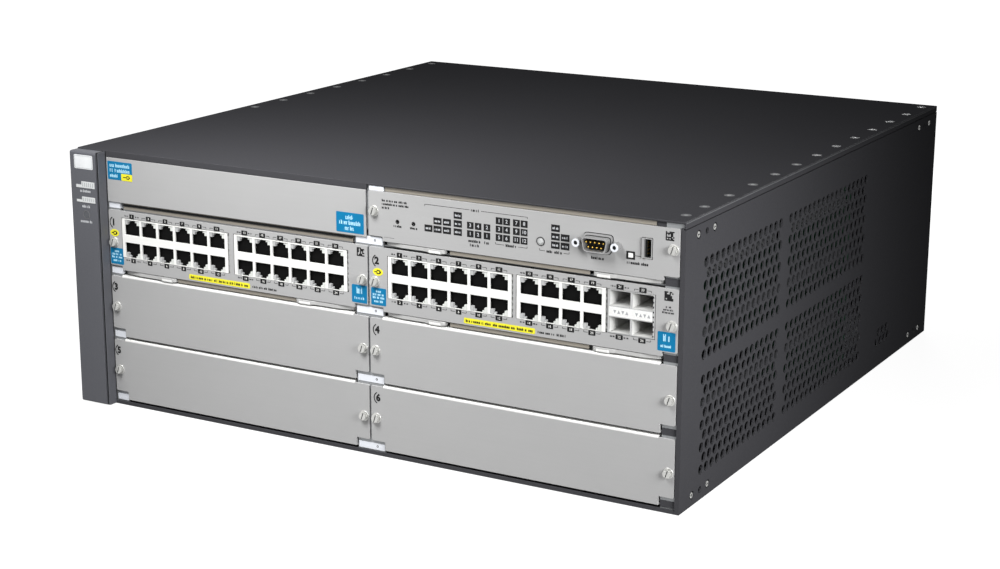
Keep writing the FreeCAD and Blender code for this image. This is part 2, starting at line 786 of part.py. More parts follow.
def midplane():
    """Vertical board that every module plugs into, and its row of sockets."""
    board = keep(box("midplane_board", "bezel_right + fit_gap", "inner_x - fit_gap",
                     "midplane_y", "midplane_y + midplane_sheet", "sheet",
                     "under_cover - midplane_drop"))
    sockets = []
    places = []
    for k in range(3):
        height = "slot_floor + %d * slot_pitch + board_rise" % k
        places.append(("(col1_l + col1_r) / 2", height))
        places.append(("(col2_l + col2_r) / 2", height))
    places.append(("(col2_l + col2_r) / 2", "mgmt_board"))
    for i, (middle, low) in enumerate(places):
        socket = new_body("midplane_socket_%d" % i)
        half = "(plug_length / 2 + socket_margin)"
        y0 = "midplane_y - plug_depth"
        mid_z = "(%s + board_sheet / 2)" % low
        pad(socket, "XZ", y0, "plug_depth", [
            rect("%s - %s" % (middle, half), mid_z + " - plug_height / 2 - socket_wall",
                 "%s + %s" % (middle, half), mid_z + " + plug_height / 2 + socket_wall"),
        ])
        mouth = "(plug_height / 2 - socket_wall)"
        pocket(socket, "XZ", y0, "plug_depth - socket_wall", [
            rect("%s - plug_length / 2 - fit_gap" % middle, "%s - %s" % (mid_z, mouth),
                 "%s + plug_length / 2 + fit_gap" % middle, "%s + %s" % (mid_z, mouth)),
        ])
        sockets.append(socket)
    keep(group_of("midplane_sockets", sockets))
    return board


def power_bay():
    """Shelf over the power supplies with the divider between them turned down from it."""
    bay = new_body("power_shelf")
    top = "supply_top + fit_gap"
    middle = "supply_left + supply_width + supply_gap / 2"
    pad(bay, "XZ", "supply_y - bay_front", "back - sheet - supply_y + bay_front", [[
        ("wall_x + sheet", top), (middle + " - sheet / 2", top),
        (middle + " - sheet / 2", "sheet"), (middle + " + sheet / 2", "sheet"),
        (middle + " + sheet / 2", top), ("inner_x", top), ("inner_x", top + " + sheet"),
        ("wall_x + sheet", top + " + sheet"),
    ]])
    return keep(bay)


# ---------------------------------------------------------------- status bezel


def led_bezel():
    """Moulded bezel shell on the left of the front, with windows for the status lenses."""
    shell = new_body("led_bezel")
    face = "front - bezel_proud"
    foot, top = "fit_gap", "(height - bezel_drop)"
    pad(shell, "YZ", "-half_w", "bezel_width", [[
        ("front", foot), ("front", top), (face + " + bezel_chamfer", top),
        (face, top + " - bezel_chamfer"), (face, foot + " + bezel_chamfer"),
        (face + " + bezel_chamfer", foot),
    ]])
    pocket(shell, "XZ", face + " + bezel_wall", "bezel_proud", [
        rect("-half_w + bezel_wall", foot + " + 1.5 * bezel_wall",
             "bezel_right - bezel_wall", top + " - 1.5 * bezel_wall"),
    ])
    lens_l, lens_r = "-half_w + lens_in", "-half_w + lens_in + lens_w"
    windows = [(lens_l, "height - power_drop - power_h", lens_r, "height - power_drop"),
               (lens_l, "height - fault_drop - fault_h", lens_r, "height - fault_drop")]
    locator = ("-half_w + locator_in", "height - locator_drop")
    pocket(shell, "XZ", face, "bezel_wall", [rect(*window) for window in windows] + [
        ring(locator[0], locator[1], "(locator_r + lens_gap)", 12),
    ])
    badge = ("-half_w + badge_in", "height - badge_drop - badge_h",
             "-half_w + badge_in + badge_w", "height - badge_drop")
    pocket(shell, "XZ", face, "badge_recess", [rect(*badge)])
    keep(shell)
    keep(box("badge_plate", badge[0] + " + lens_gap", badge[2] + " - lens_gap",
             face + " - badge_proud", face + " + badge_recess",
             badge[1] + " + lens_gap", badge[3] + " - lens_gap"))
    lenses = []
    for name, (x0, z0, x1, z1) in zip(("power_lens", "fault_lens"), windows):
        lenses.append(box(name, x0 + " + lens_gap", x1 + " - lens_gap", face + " - lens_proud",
                          face + " + 1.5 * bezel_wall", z0 + " + lens_gap", z1 + " - lens_gap"))
    lamp = new_body("locator_lens")
    pad(lamp, "XZ", face + " - lens_proud", "1.5 * bezel_wall",
        [ring(locator[0], locator[1], "locator_r", 12)])
    return keep(group_of("status_lenses", lenses + [lamp]))


# ---------------------------------------------------------------- fan tray


def fan_centres():
    """Centres of the two by two fans, along Y and Z."""
    for i in range(2):
        for k in range(2):
            yield ("(fan_first_y + %d * fan_pitch_y)" % i, "(fan_first_z + %d * fan_pitch_z)" % k)


def ring(middle_u, middle_v, radius, corners):
    """A regular outline about a centre, in the sketch's plane."""
    outline = []
    for k in range(corners):
        angle = 360.0 * k / corners
        outline.append((
            "%s + %s * cos(%g)" % (middle_u, radius, angle),
            "%s + %s * sin(%g)" % (middle_v, radius, angle),
        ))
    return outline


def fan_tray():
    """Sliding tray: a long sheet with fan windows, a rear plate and a bent pull handle."""
    tray = new_body("fan_tray_frame")
    low, high = "tray_low", "tray_high"
    start = "fan_first_y - fan_size / 2 - tray_margin"
    rear = "back - sheet"
    pad(tray, "YZ", "tray_x", "tray_sheet", [
        [(start, low), ("back", low), ("back", high), (start, high)],
    ] + [ring(y, z, "fan_bore", 12) for y, z in fan_centres()])
    pad(tray, "XZ", rear, "sheet", [
        rect("-inner_x + 2 * fit_gap", low, "wall_x - fit_gap", high),
    ])
    handle_low = "tray_handle_z - tray_handle / 2"
    handle_high = "tray_handle_z + tray_handle / 2"
    root, inner = "back - fit_gap", "back + handle_reach - handle_bar"
    pad(tray, "YZ", "(-inner_x + tray_grip_in)", "handle_bar / 2", [[
        (root, handle_low), ("back + handle_reach", handle_low + " + tray_lean"),
        ("back + handle_reach", handle_high + " - tray_lean"), (root, handle_high),
        (root, handle_high + " - handle_bar"),
        (inner, handle_high + " - handle_bar - tray_lean"),
        (inner, handle_low + " + handle_bar + tray_lean"),
        (root, handle_low + " + handle_bar"),
    ]])
    return keep(tray)


def fan_frames():
    """Square fan housings with a round throat, a motor seat and four struts."""
    frames = []
    for i, (y, z) in enumerate(fan_centres()):
        half = "fan_size / 2"
        frame = new_body("fan_frame_%d" % (i + 1))
        pad(frame, "YZ", "fan_x", "fan_thick", [
            rect("%s - %s" % (y, half), "%s - %s" % (z, half),
                 "%s + %s" % (y, half), "%s + %s" % (z, half)),
            ring(y, z, "fan_bore", 12),
        ])
        seat = "tray_x - motor_thick"
        pad(frame, "YZ", seat, "motor_thick", [ring(y, z, "hub_radius", 8)])
        arm = "strut_w / 2"
        far = "(fan_bore + strut_root)"
        pad(frame, "YZ", seat, "motor_thick", [
            rect("%s - %s" % (y, far), "%s - %s" % (z, arm),
                 "%s + %s" % (y, far), "%s + %s" % (z, arm)),
        ])
        pad(frame, "YZ", seat, "motor_thick", [
            rect("%s - %s" % (y, arm), "%s - %s" % (z, far),
                 "%s + %s" % (y, arm), "%s + %s" % (z, far)),
        ])
        frames.append(frame)
    return keep(group_of("fan_frames", frames))


def fan_rotor(index, y, z):
    """Hub with pitched blades: one slanted blade repeated about the spindle."""
    rotor = new_body("fan_rotor_%d" % index)
    rotor.setExpression("Placement.Base.y", bound(y))
    rotor.setExpression("Placement.Base.z", bound(z))
    start = "fan_x + rotor_gap"
    length = "fan_thick - motor_thick - rotor_gap - fit_gap"
    pad(rotor, "YZ", start, length, [ring("0", "0", "hub_radius", 12)])
    run = "blade_run / 2"
    blade = pad(rotor, "XY", "hub_radius - blade_root", "blade_tip - hub_radius + blade_root", [[
        (start, "-" + run), (start + " + blade_sheet", "-" + run),
        (start + " + " + length, run), (start + " + %s - blade_sheet" % length, run),
    ]])
    doc.recompute()
    pattern = rotor.newObject("PartDesign::PolarPattern", rotor.Name + "_blades")
    pattern.Originals = [blade]
    spindle = [f for f in rotor.Origin.OriginFeatures if f.Role == "X_Axis"][0]
    pattern.Axis = (spindle, [""])
    pattern.Angle = 360
    pattern.setExpression("Occurrences", bound("blade_count"))
    rotor.Tip = pattern
    return keep(rotor)


# ---------------------------------------------------------------- power supplies


def power_supply(index, left):
    """Sheet-metal power supply: exhaust slots, inlet recess and pull handle at the rear."""
    case = new_body("power_supply_%d" % index)
    right = "%s + supply_width" % left
    rear = "(back + supply_proud)"
    pad(case, "XY", "supply_z", "supply_height", [rect(left, "supply_y", right, rear)])
    inlet_x = "%s - inlet_in" % right
    inlet_z = "supply_z + inlet_rise"
    pocket(case, "XZ", rear + " - inlet_depth", "inlet_depth", [
        rect(inlet_x, inlet_z, inlet_x + " + inlet_w", inlet_z + " + inlet_h"),
    ])
    slot_x = "%s + slot_in" % left
    slot_z = "supply_z + slot_rise"
    slots = pocket(case, "XZ", rear + " - slot_deep", "slot_deep", [
        rect(slot_x, slot_z, slot_x + " + slot_w", slot_z + " + slot_h"),
    ])
    doc.recompute()
    repeat(case, slots, "Z", "slot_step", "slot_count")
    x0 = "%s - grip_in" % right
    x1 = x0 + " + grip_span"
    reach = rear + " + handle_reach"
    pad(case, "XY", "supply_z + grip_rise", "handle_bar / 2", [[
        (x0, "back"), (x0 + " + grip_lean", reach), (x1 + " - grip_lean", reach), (x1, "back"),
        (x1 + " - grip_lean", "back"), (x1 + " - 2 * grip_lean", reach + " - handle_bar"),
        (x0 + " + 2 * grip_lean", reach + " - handle_bar"), (x0 + " + grip_lean", "back"),
    ]])
    keep(case)
    inlet = new_body("power_inlet_%d" % index)
    y0 = rear + " - inlet_depth"
    wall = "inlet_wall"
    edge = "fit_gap / 3"
    pad(inlet, "XZ", y0, "inlet_depth", [
        rect("%s + %s" % (inlet_x, edge), "%s + %s" % (inlet_z, edge),
             "%s + inlet_w - %s" % (inlet_x, edge), "%s + inlet_h - %s" % (inlet_z, edge)),
    ])
    pocket(inlet, "XZ", y0 + " + inlet_floor", "inlet_depth", [
        rect("%s + %s" % (inlet_x, wall), "%s + %s" % (inlet_z, wall),
             "%s + inlet_w - %s" % (inlet_x, wall), "%s + inlet_h - %s" % (inlet_z, wall)),
    ])
    mid_x = "(%s + inlet_w / 2)" % inlet_x
    mid_z = "(%s + inlet_h / 2)" % inlet_z
    for side, rise in ((-1, "- inlet_pin_drop"), (0, "+ inlet_pin_rise"), (1, "- inlet_pin_drop")):
        x = "%s + %d * inlet_pin_step" % (mid_x, side)
        z = "%s %s" % (mid_z, rise)
        deep = "inlet_depth - inlet_floor / 2 - inlet_pin_back"
        pad(inlet, "XZ", y0 + " + inlet_floor / 2", deep, [
            rect(x + " - inlet_pin_w / 2", z + " - inlet_pin_h / 2",
                 x + " + inlet_pin_w / 2", z + " + inlet_pin_h / 2"),
        ])
    return keep(inlet)


# ---------------------------------------------------------------- module parts


def faceplate(label, left, right, low, high, windows):
    """Folded faceplate: notched lower corners, a bottom flange over the levers, windows."""
    plate = new_body(label)
    inset = "(%s) + notch_w" % left
    outset = "(%s) - notch_w" % right
    low = "(%s)" % low
    pad(plate, "XZ", "front", "face_sheet", [[
        (left, low + " + notch_rise"), (inset, low + " + notch_rise"), (inset, low),
        (outset, low), (outset, low + " + notch_rise"), (right, low + " + notch_rise"),
        (right, high), (left, high),
    ]])
    pad(plate, "XY", low, "sheet", [
        rect(inset, "front + face_sheet / 2", outset, "front + panel_fold"),
    ])
    if windows:
        pocket(plate, "XZ", "front", "face_sheet", windows)
    return plate


def lever_pins(plate, left, right, low):
    """Adds fixed pivot pins under a faceplate's flange, one at each end."""
    foot = "(%s) - lever_band + lever_floor" % low
    pad(plate, "XY", foot, "lever_band - lever_floor + sheet / 2", [
        ring(x, "(front + lever_pivot_back)", "pin_r", 12)
        for x in ("(%s) + lever_pivot_in" % left, "(%s) - lever_pivot_in" % right)
    ])


def ejector_lever(label, left_end, floor, hand, reach):
    """Flat lever pivoted near the faceplate's end; its thumb reaches inwards."""
    lever = new_body(label)
    sign = "+" if hand == "left" else "-"

    def x(offset):
        return "(%s) %s (%s)" % (left_end, sign, offset)

    pivot = "lever_pivot_in"
    py = "(front + lever_pivot_back)"
    edge = "front - thumb_proud"
    back_edge = "front + lever_bar"
    before, after = pivot + " - lever_eye_flat", pivot + " + lever_eye_flat"
    tip = reach + " - lever_corner"
    pad(lever, "XY", "(%s) + lever_floor" % floor, "lever_sheet", [[
        (x(pivot + " - lever_eye"), py + " - lever_eye_flat"),
        (x(pivot + " - lever_eye"), py + " + lever_eye_flat"),
        (x(before), py + " + lever_eye"), (x(after), py + " + lever_eye"),
        (x(pivot + " + lever_neck"), back_edge), (x(tip), back_edge),
        (x(reach), back_edge + " - lever_corner"), (x(reach), edge + " + lever_corner"),
        (x(tip), edge), (x(reach + " - thumb_w"), edge), (x(reach + " - thumb_run"), "front"),
        (x(pivot + " + lever_root"), "front"), (x(before), py + " - lever_eye"),
    ]])
    pocket(lever, "XY", "(%s) + lever_floor" % floor, "lever_sheet", [
        ring(x(pivot), py, "(pin_r + pin_gap) / cos(15)", 12),
    ])
    return keep(lever)


def captive_screws(label, spots):
    heads = []
    for x, z in spots:
        heads.append(faceted_head(label + "_head", "screw_head", "screw_proud", x, "front", z))
    return keep(group_of(label, heads))


def circuit_board(label, left, right, low, front_edge):
    """Board from the faceplate back to the midplane, with its plug at the rear."""
    board = new_body(label)
    inset = "fit_gap + guide_wall"
    x0 = "bezel_right + " + inset if left == "col1_l" else "web_r + " + inset
    x1 = "web_l - (%s)" % inset if left == "col1_l" else "col2_r - fit_gap"
    low = "(%s)" % low
    end = "board_end - board_tail"
    pad(board, "XY", low, "board_sheet", [[
        (left + " + board_in", front_edge), (right + " - board_in", front_edge),
        (right + " - board_in", "front + board_shoulder"), (x1, "front + board_wide"),
        (x1, end + " - board_chamfer"), (x1 + " - board_chamfer", end),
        (x0 + " + board_chamfer", end), (x0, end + " - board_chamfer"),
        (x0, "front + board_wide"), (left + " + board_in", "front + board_shoulder"),
    ]])
    middle = "(%s + %s) / 2" % (left, right)
    mid_z = low + " + board_sheet / 2"
    thin = "(plug_height / 2 - plug_clear)"
    pad(board, "XZ", "board_end - plug_grip", "plug_grip + plug_depth - board_tail", [
        rect("%s - plug_length / 2" % middle, "%s - %s" % (mid_z, thin),
             "%s + plug_length / 2" % middle, "%s + %s" % (mid_z, thin)),
    ])
    return keep(board)


def jack_outline(middle, low, latch_up):
    """Socket opening with its latch notch above or below."""
    x0, x1 = "%s - jack_w / 2" % middle, "%s + jack_w / 2" % middle
    n0, n1 = "%s - jack_latch_w / 2" % middle, "%s + jack_latch_w / 2" % middle
    high = "%s + jack_body" % low
    if latch_up:
        tip = high + " + jack_latch"
        return [(x0, low), (x1, low), (x1, high), (n1, high), (n1, tip), (n0, tip),
                (n0, high), (x0, high)]
    tip = low + " - jack_latch"
    return [(x0, low), (n0, low), (n0, tip), (n1, tip), (n1, low), (x1, low),
            (x1, high), (x0, high)]


def jack_bank(label, left, columns):
    """Ganged two-row socket housing; the rows face each other's backs."""
    bank = new_body(label)
    end = "%s + 2 * bank_margin + (%s - 1) * jack_pitch" % (left, columns)
    nose = "front - bank_proud"
    pad(bank, "XZ", nose, "bank_deep + bank_proud", [rect(left, "bank_low", end, "bank_high")])
    first = "%s + bank_margin" % left
    sockets = pocket(bank, "XZ", nose, "jack_depth + bank_proud", [
        jack_outline(first, "jack_upper", True), jack_outline(first, "jack_lower", False),
    ])
    doc.recompute()
    repeat(bank, sockets, "X", "jack_pitch", columns)
    keep(bank)
    return rect("%s - bank_gap" % left, "bank_low - bank_gap",
                "%s + bank_gap" % end, "bank_high + bank_gap")


def blank_cover(label, left, right, floor):
    """Slot cover: a folded sheet with its top edge turned back and notched lower corners."""
    cover = new_body(label)
    low = "(%s) + cover_lift" % floor
    high = "(%s) + slot_pitch - fit_gap" % floor
    inset = "%s + notch_w" % left
    outset = "%s - notch_w" % right
    pad(cover, "XZ", "front", "face_sheet", [[
        (left, low + " + cover_notch"), (inset, low + " + cover_notch"), (inset, low),
        (outset, low), (outset, low + " + cover_notch"), (right, low + " + cover_notch"),
        (right, high + " - cover_shoulder"), (left, high + " - cover_shoulder"),
    ]])
    fold = high + " - cover_fold_drop"
    pad(cover, "XZ", "front + face_sheet / 2", "panel_fold - face_sheet / 2", [
        rect(inset, fold + " - sheet", outset, fold),
        rect(inset, low, outset, low + " + sheet"),
    ])
    return keep(cover)


# ---------------------------------------------------------------- assembly


def port_modules():
    """The two port modules in the top slots."""
    floor = "slot_1_z"
    low = floor + " + lever_band"
    high = floor + " + slot_pitch - fit_gap"
    for index, left, right in ((1, "col1_l", "col1_r"), (2, "col2_l", "col2_r")):
        name = "port_module_%d" % index
        if index == 1:
            windows = [jack_bank("jack_bank_1a", "bank_1a", "jacks_full"),
                       jack_bank("jack_bank_1b", "bank_1b", "jacks_full")]
        else:
            windows = [jack_bank("jack_bank_2a", "bank_2a", "jacks_full"),
                       jack_bank("jack_bank_2b", "bank_2b", "jacks_short"),
                       transceiver_cage()]
        plate = faceplate(name + "_faceplate", left, right, low, high, windows)
        lever_pins(plate, left, right, low)
        keep(plate)
        circuit_board(name + "_board", left, right, floor + " + board_rise", "board_y")
        ejector_lever(name + "_lever_left", left, floor, "left", "lever_reach")
        ejector_lever(name + "_lever_right", right, floor, "right", "lever_reach")
        captive_screws(name + "_screws", [
            (left + " + screw_in", floor + " + screw_rise"),
            (right + " - screw_in", floor + " + screw_rise"),
        ])


def transceiver_cage():
    """Two by two pluggable transceiver cage, open to the front."""
    cage = new_body("transceiver_cage")
    x1 = "cage_left + 2 * cage_w + 3 * cage_wall"
    low = "bank_low"
    high = "bank_high"
    pad(cage, "XZ", "front - bank_proud", "cage_depth + bank_proud", [rect("cage_left", low, x1, high)])
    holes = []
    for i in range(2):
        for z in ("cage_low", "cage_high"):
            x0 = "cage_left + cage_wall + %d * cage_step" % i
            holes.append(rect(x0, z, x0 + " + cage_w", z + " + cage_h"))
    pocket(cage, "XZ", "front - bank_proud", "cage_bore", holes)
    keep(cage)
    return rect("cage_left - bank_gap", low + " - bank_gap",
                x1 + " + bank_gap", high + " + bank_gap")


def slot_covers():
    """Blank covers over the four empty slots, with their screws."""
    spots = []
    for k, numbers in ((1, (3, 4)), (0, (5, 6))):
        floor = "slot_floor + %d * slot_pitch" % k
        for number_, (left, right) in zip(numbers, (("col1_l", "col1_r"), ("col2_l", "col2_r"))):
            blank_cover("slot_cover_%d" % number_, left, right, floor)
            spots.append((left + " + screw_in", floor + " + screw_rise"))
            spots.append((right + " - screw_in", floor + " + screw_rise"))
    captive_screws("slot_cover_screws", spots)


BUTTON_HOLES = (
    ("mode_x", "mode_z", "mode_r", 12),
    ("reset_x", "pinhole_z", "pinhole_r", 8),
    ("clear_x", "pinhole_z", "pinhole_r", 8),
)


def management_module():
    """Management module: console and USB ports, status windows and three buttons."""
    left, right = "col2_l", "col2_r"
    low = "mgmt_face_z"
    half_w, half_h = "(console_w / 2 + fit_gap)", "(console_h / 2 + fit_gap)"
    windows = [
        rect("console_x - %s" % half_w, "console_z - %s" % half_h,
             "console_x + %s" % half_w, "console_z + %s" % half_h),
        rect("usb_x - fit_gap", "usb_z - fit_gap", "usb_x + usb_w + fit_gap",
             "usb_z + usb_h + fit_gap"),
    ]
    tiles = []
    start = "col2_l + tiles_in"
    for width, gap in (("module_tiles", "state_gap"), ("state_tiles", "supply_tiles_gap"),
                       ("supply_tiles", "mode_tiles_gap"), ("mode_tiles", "0")):
        end = start + " + " + width
        tiles.append((start, end))
        windows.append(rect(start, "tiles_low", end, "tiles_high"))
        start = end + " + " + gap
    for x, z, r, corners in BUTTON_HOLES:
        windows.append(ring(x, z, "(%s + fit_gap / 2)" % r, corners))
    plate = faceplate("management_faceplate", left, right, low, "mgmt_face_top", windows)
    lever_pins(plate, left, right, low)
    keep(plate)

    circuit_board("management_board", left, right, "mgmt_board", "board_y + display_space")

    display = new_body("status_display")
    margin = "display_margin"
    pad(display, "XZ", "board_y", "display_sheet", [
        rect("%s - %s" % (tiles[0][0], margin), "tiles_low - " + margin,
             "%s + %s" % (tiles[-1][1], margin), "tiles_high + " + margin),
    ])
    pad(display, "XZ", "front + tile_sunk", "face_sheet", [
        rect(x0 + " + lens_gap", "tiles_low + lens_gap", x1 + " - lens_gap", "tiles_high - lens_gap")
        for x0, x1 in tiles
    ])
    room = "(mode_r + %s)" % margin
    pocket(display, "XZ", "front", "board_y - front + display_space", [
        rect("mode_x - " + room, "mode_z - " + room, "mode_x + " + room, "mode_z + " + room),
    ])
    keep(display)

    shell = new_body("console_shell")
    x0, x1 = "console_x - console_w / 2", "console_x + console_w / 2"
    z0, z1 = "console_z - console_h / 2", "console_z + console_h / 2"
    nose = "front - console_proud"

    def d_outline(inset):
        """The connector's D, drawn in by a wall's thickness."""
        l, r = "%s + %s" % (x0, inset), "%s - (%s)" % (x1, inset)
        b, t = "%s + %s" % (z0, inset), "%s - (%s)" % (z1, inset)
        return [(l + " + console_slant", b), (r + " - console_slant", b),
                (r, t + " - console_corner"), (r + " - console_corner", t),
                (l + " + console_corner", t), (l, t + " - console_corner")]

    pad(shell, "XZ", nose, "console_proud + console_deep", [d_outline("0")])
    pocket(shell, "XZ", nose, "console_proud + console_sunk", [d_outline("console_wall")])
    pins = []
    half = " console_pin / 2"
    for row, count in (("+", 5), ("-", 4)):
        z = "console_z %s console_rows / 2" % row
        for k in range(count):
            x = "console_x + %g * console_pitch" % (k - (count - 1) / 2.0)
            pins.append(box("console_pin", x + " -" + half, x + " +" + half, nose + " + console_pin",
                            "front + 2 * console_sunk", z + " -" + half, z + " +" + half))
    flange = box("console_flange", "console_x - console_flange_w / 2",
                 "console_x + console_flange_w / 2", "board_y", "board_y + console_flange_t",
                 "console_z - console_flange_h / 2", "console_z + console_flange_h / 2")
    posts = []
    for side in ("-", "+"):
        posts.append(faceted_head("jackscrew", "jackscrew_r", "console_proud + jackscrew_past",
                                  "console_x %s jackscrew_span / 2" % side, "front", "console_z"))
    keep(joined("console_port", [shell, flange] + pins))
    keep(group_of("console_jackscrews", posts))

    usb = new_body("usb_port")
    pad(usb, "XZ", "front", "usb_depth", [
        rect("usb_x", "usb_z", "usb_x + usb_w", "usb_z + usb_h"),
    ])
    pocket(usb, "XZ", "front", "usb_depth - usb_floor", [
        rect("usb_x + usb_wall", "usb_z + usb_wall", "usb_x + usb_w - usb_wall",
             "usb_z + usb_h - usb_wall"),
    ])
    keep(usb)

    starts = ("front - mode_proud", "front + pin_sunk", "front + pin_sunk")
    names = ("mode_button", "reset_button", "clear_button")
    for name, start, (x, z, r, corners) in zip(names, starts, BUTTON_HOLES):
        button = new_body(name)
        pad(button, "XZ", start, "button_length", [ring(x, z, r, corners)])
        keep(button)
    for hand, end in (("left", left), ("right", right)):
        ejector_lever("management_lever_" + hand, end, low + " - lever_band", hand, "lever_reach")
    captive_screws("management_screws", [
        (left + " + screw_in", "mgmt_screw_z"), (right + " - screw_in", "mgmt_screw_z"),
    ])


base_pan()
top_cover()
side_panels()
rear_panel()
upper_left_panel()
fan_partition()
centre_divider()
right_bracket()
upper_shelf()
slot_crossbars()
card_guides()
midplane()
power_bay()
led_bezel()
fan_tray()
fan_frames()
for index, (y, z) in enumerate(fan_centres()):
    fan_rotor(index + 1, y, z)
power_supply(1, "supply_left")
power_supply(2, "supply_2")
management_module()
port_modules()
slot_covers()

doc.recompute()

# ---------------------------------------------------------------- checks and export

for item in doc.Objects:
    if "Invalid" in item.State or "Error" in item.State:
        raise RuntimeError("%s did not build: %s" % (item.Label, item.State))

os.makedirs("parts", exist_ok=True)
for piece in NODES:
    if piece.Shape.isNull() or not piece.Shape.isValid():
        raise RuntimeError("%s has no valid shape" % piece.Label)
    piece.Shape.exportStep("parts/%s.step" % piece.Label)
print("%d sub-parts written" % len(NODES))
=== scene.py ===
import math
import random

import bmesh
import bpy
from mathutils import Matrix, Vector
from mathutils.geometry import tessellate_polygon


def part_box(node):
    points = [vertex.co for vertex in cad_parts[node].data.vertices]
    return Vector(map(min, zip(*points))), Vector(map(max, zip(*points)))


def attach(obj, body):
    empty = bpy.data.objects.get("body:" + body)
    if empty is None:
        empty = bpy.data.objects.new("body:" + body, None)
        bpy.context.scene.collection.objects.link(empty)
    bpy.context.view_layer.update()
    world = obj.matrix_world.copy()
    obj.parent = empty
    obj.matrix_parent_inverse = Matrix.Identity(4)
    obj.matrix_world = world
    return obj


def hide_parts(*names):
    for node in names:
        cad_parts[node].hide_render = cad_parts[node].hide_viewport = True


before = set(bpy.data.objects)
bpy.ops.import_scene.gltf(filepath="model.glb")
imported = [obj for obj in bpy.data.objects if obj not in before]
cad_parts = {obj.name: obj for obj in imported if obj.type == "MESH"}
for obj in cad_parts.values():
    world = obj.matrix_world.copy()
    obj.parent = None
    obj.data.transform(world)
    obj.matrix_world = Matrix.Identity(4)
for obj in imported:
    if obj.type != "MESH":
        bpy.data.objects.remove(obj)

# Modular chassis switch.  Lengths below are millimetres unless a name says otherwise, with
# +X to the right seen from the front, the front towards -Y and +Z up, as in the frame.
MM = 0.001
random.seed(11)
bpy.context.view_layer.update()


def node_box(name):
    """A CAD node's lowest and highest corners, in millimetres."""
    low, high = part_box(name)
    return [c / MM for c in low], [c / MM for c in high]


# ------------------------------------------------------------------ places from the frame
PAN_LOW, PAN_HIGH = node_box("base_pan")
HALF_W = PAN_HIGH[0]
FRONT = PAN_LOW[1]
BACK = PAN_HIGH[1]
TOP = node_box("top_cover")[1][2]
BEZEL_LOW, BEZEL_HIGH = node_box("led_bezel")
BEZEL_RIGHT = BEZEL_HIGH[0]
BEZEL_FACE = BEZEL_LOW[1]
BEZEL_MIDDLE = -HALF_W + 12.2
COVER_3, COVER_3_TOP = node_box("slot_cover_3")
COVER_4, COVER_4_TOP = node_box("slot_cover_4")
LEFT_COLUMN = (COVER_3[0], COVER_3_TOP[0])
RIGHT_COLUMN = (COVER_4[0], COVER_4_TOP[0])
SLOT_PITCH = 44.45
SLOT_FLOOR = 2.6
FACE = 1.5                     # faceplate thickness
SHEET = 1.2                    # chassis sheet
PRINT = 0.05                   # thickness of ink and labels


def slot_floor(row):
    """Height of a slot row's floor; row 0 is the lowest."""
    return SLOT_FLOOR + row * SLOT_PITCH


# ------------------------------------------------------------------ shader node groups
def feed(links, value, socket):
    """Sets a socket to a number, or links another node's output to it."""
    if isinstance(value, (int, float)):
        socket.default_value = value
    else:
        links.new(value, socket)


def calculate(nodes, links, operation, *values):
    """A math node's result; each value is a number or another node's output."""
    node = nodes.new("ShaderNodeMath")
    node.operation = operation
    for value, socket in zip(values, node.inputs):
        feed(links, value, socket)
    return node.outputs[0]


def new_group(name, inputs):
    """A shader node group.  Its inputs are given with their defaults, a tuple for a colour;
    it gives a colour and a height, and a roughness where it takes one."""
    group = bpy.data.node_groups.new(name, "ShaderNodeTree")
    for label, default in inputs.items():
        kind = "NodeSocketColor" if isinstance(default, tuple) else "NodeSocketFloat"
        socket = group.interface.new_socket(name=label, in_out="INPUT", socket_type=kind)
        socket.default_value = default
    for label in ("Colour", "Roughness", "Height"):
        if label == "Height" or label in inputs:
            kind = "NodeSocketColor" if label == "Colour" else "NodeSocketFloat"
            group.interface.new_socket(name=label, in_out="OUTPUT", socket_type=kind)
    entry = group.nodes.new("NodeGroupInput").outputs
    leave = group.nodes.new("NodeGroupOutput").inputs
    place = group.nodes.new("ShaderNodeTexCoord").outputs["Object"]
    return group, entry, leave, place


def noise(nodes, links, vector, scale, detail=2.0, roughness=0.5):
    """A cloudy or grainy mask."""
    node = nodes.new("ShaderNodeTexNoise")
    node.inputs["Detail"].default_value = detail
    node.inputs["Roughness"].default_value = roughness
    feed(links, vector, node.inputs["Vector"])
    feed(links, scale, node.inputs["Scale"])
    return node.outputs["Fac"]


def stretch_range(nodes, links, mask, low, high):
    """Spreads a mask's middle range over low to high."""
    node = nodes.new("ShaderNodeMapRange")
    for label, value in (("From Min", 0.3), ("From Max", 0.7), ("To Min", low),
                         ("To Max", high), ("Value", mask)):
        feed(links, value, node.inputs[label])
    return node.outputs["Result"]


def tinted(nodes, links, colour, dark, light, mask):
    """Colour multiplied by a factor that runs from dark to light with the mask."""
    mix = nodes.new("ShaderNodeMix")
    mix.data_type = "RGBA"
    mix.blend_type = "MULTIPLY"
    mix.inputs["Factor"].default_value = 1.0
    links.new(colour, mix.inputs["A"])
    links.new(stretch_range(nodes, links, mask, dark, light), mix.inputs["B"])
    return mix.outputs["Result"]


def tinted_by(nodes, links, colour, amount, mask):
    """Colour made darker and lighter by an amount that comes in through a socket."""
    return tinted(nodes, links, colour, calculate(nodes, links, "SUBTRACT", 1.0, amount),
                  calculate(nodes, links, "ADD", 1.0, amount), mask)


def varied_roughness(nodes, links, entry, mask):
    """The group's roughness, lowered and raised by its spread as the mask goes."""
    return calculate(nodes, links, "MULTIPLY_ADD", stretch_range(nodes, links, mask, -1.0, 1.0),
                     entry["Roughness Spread"], entry["Roughness"])


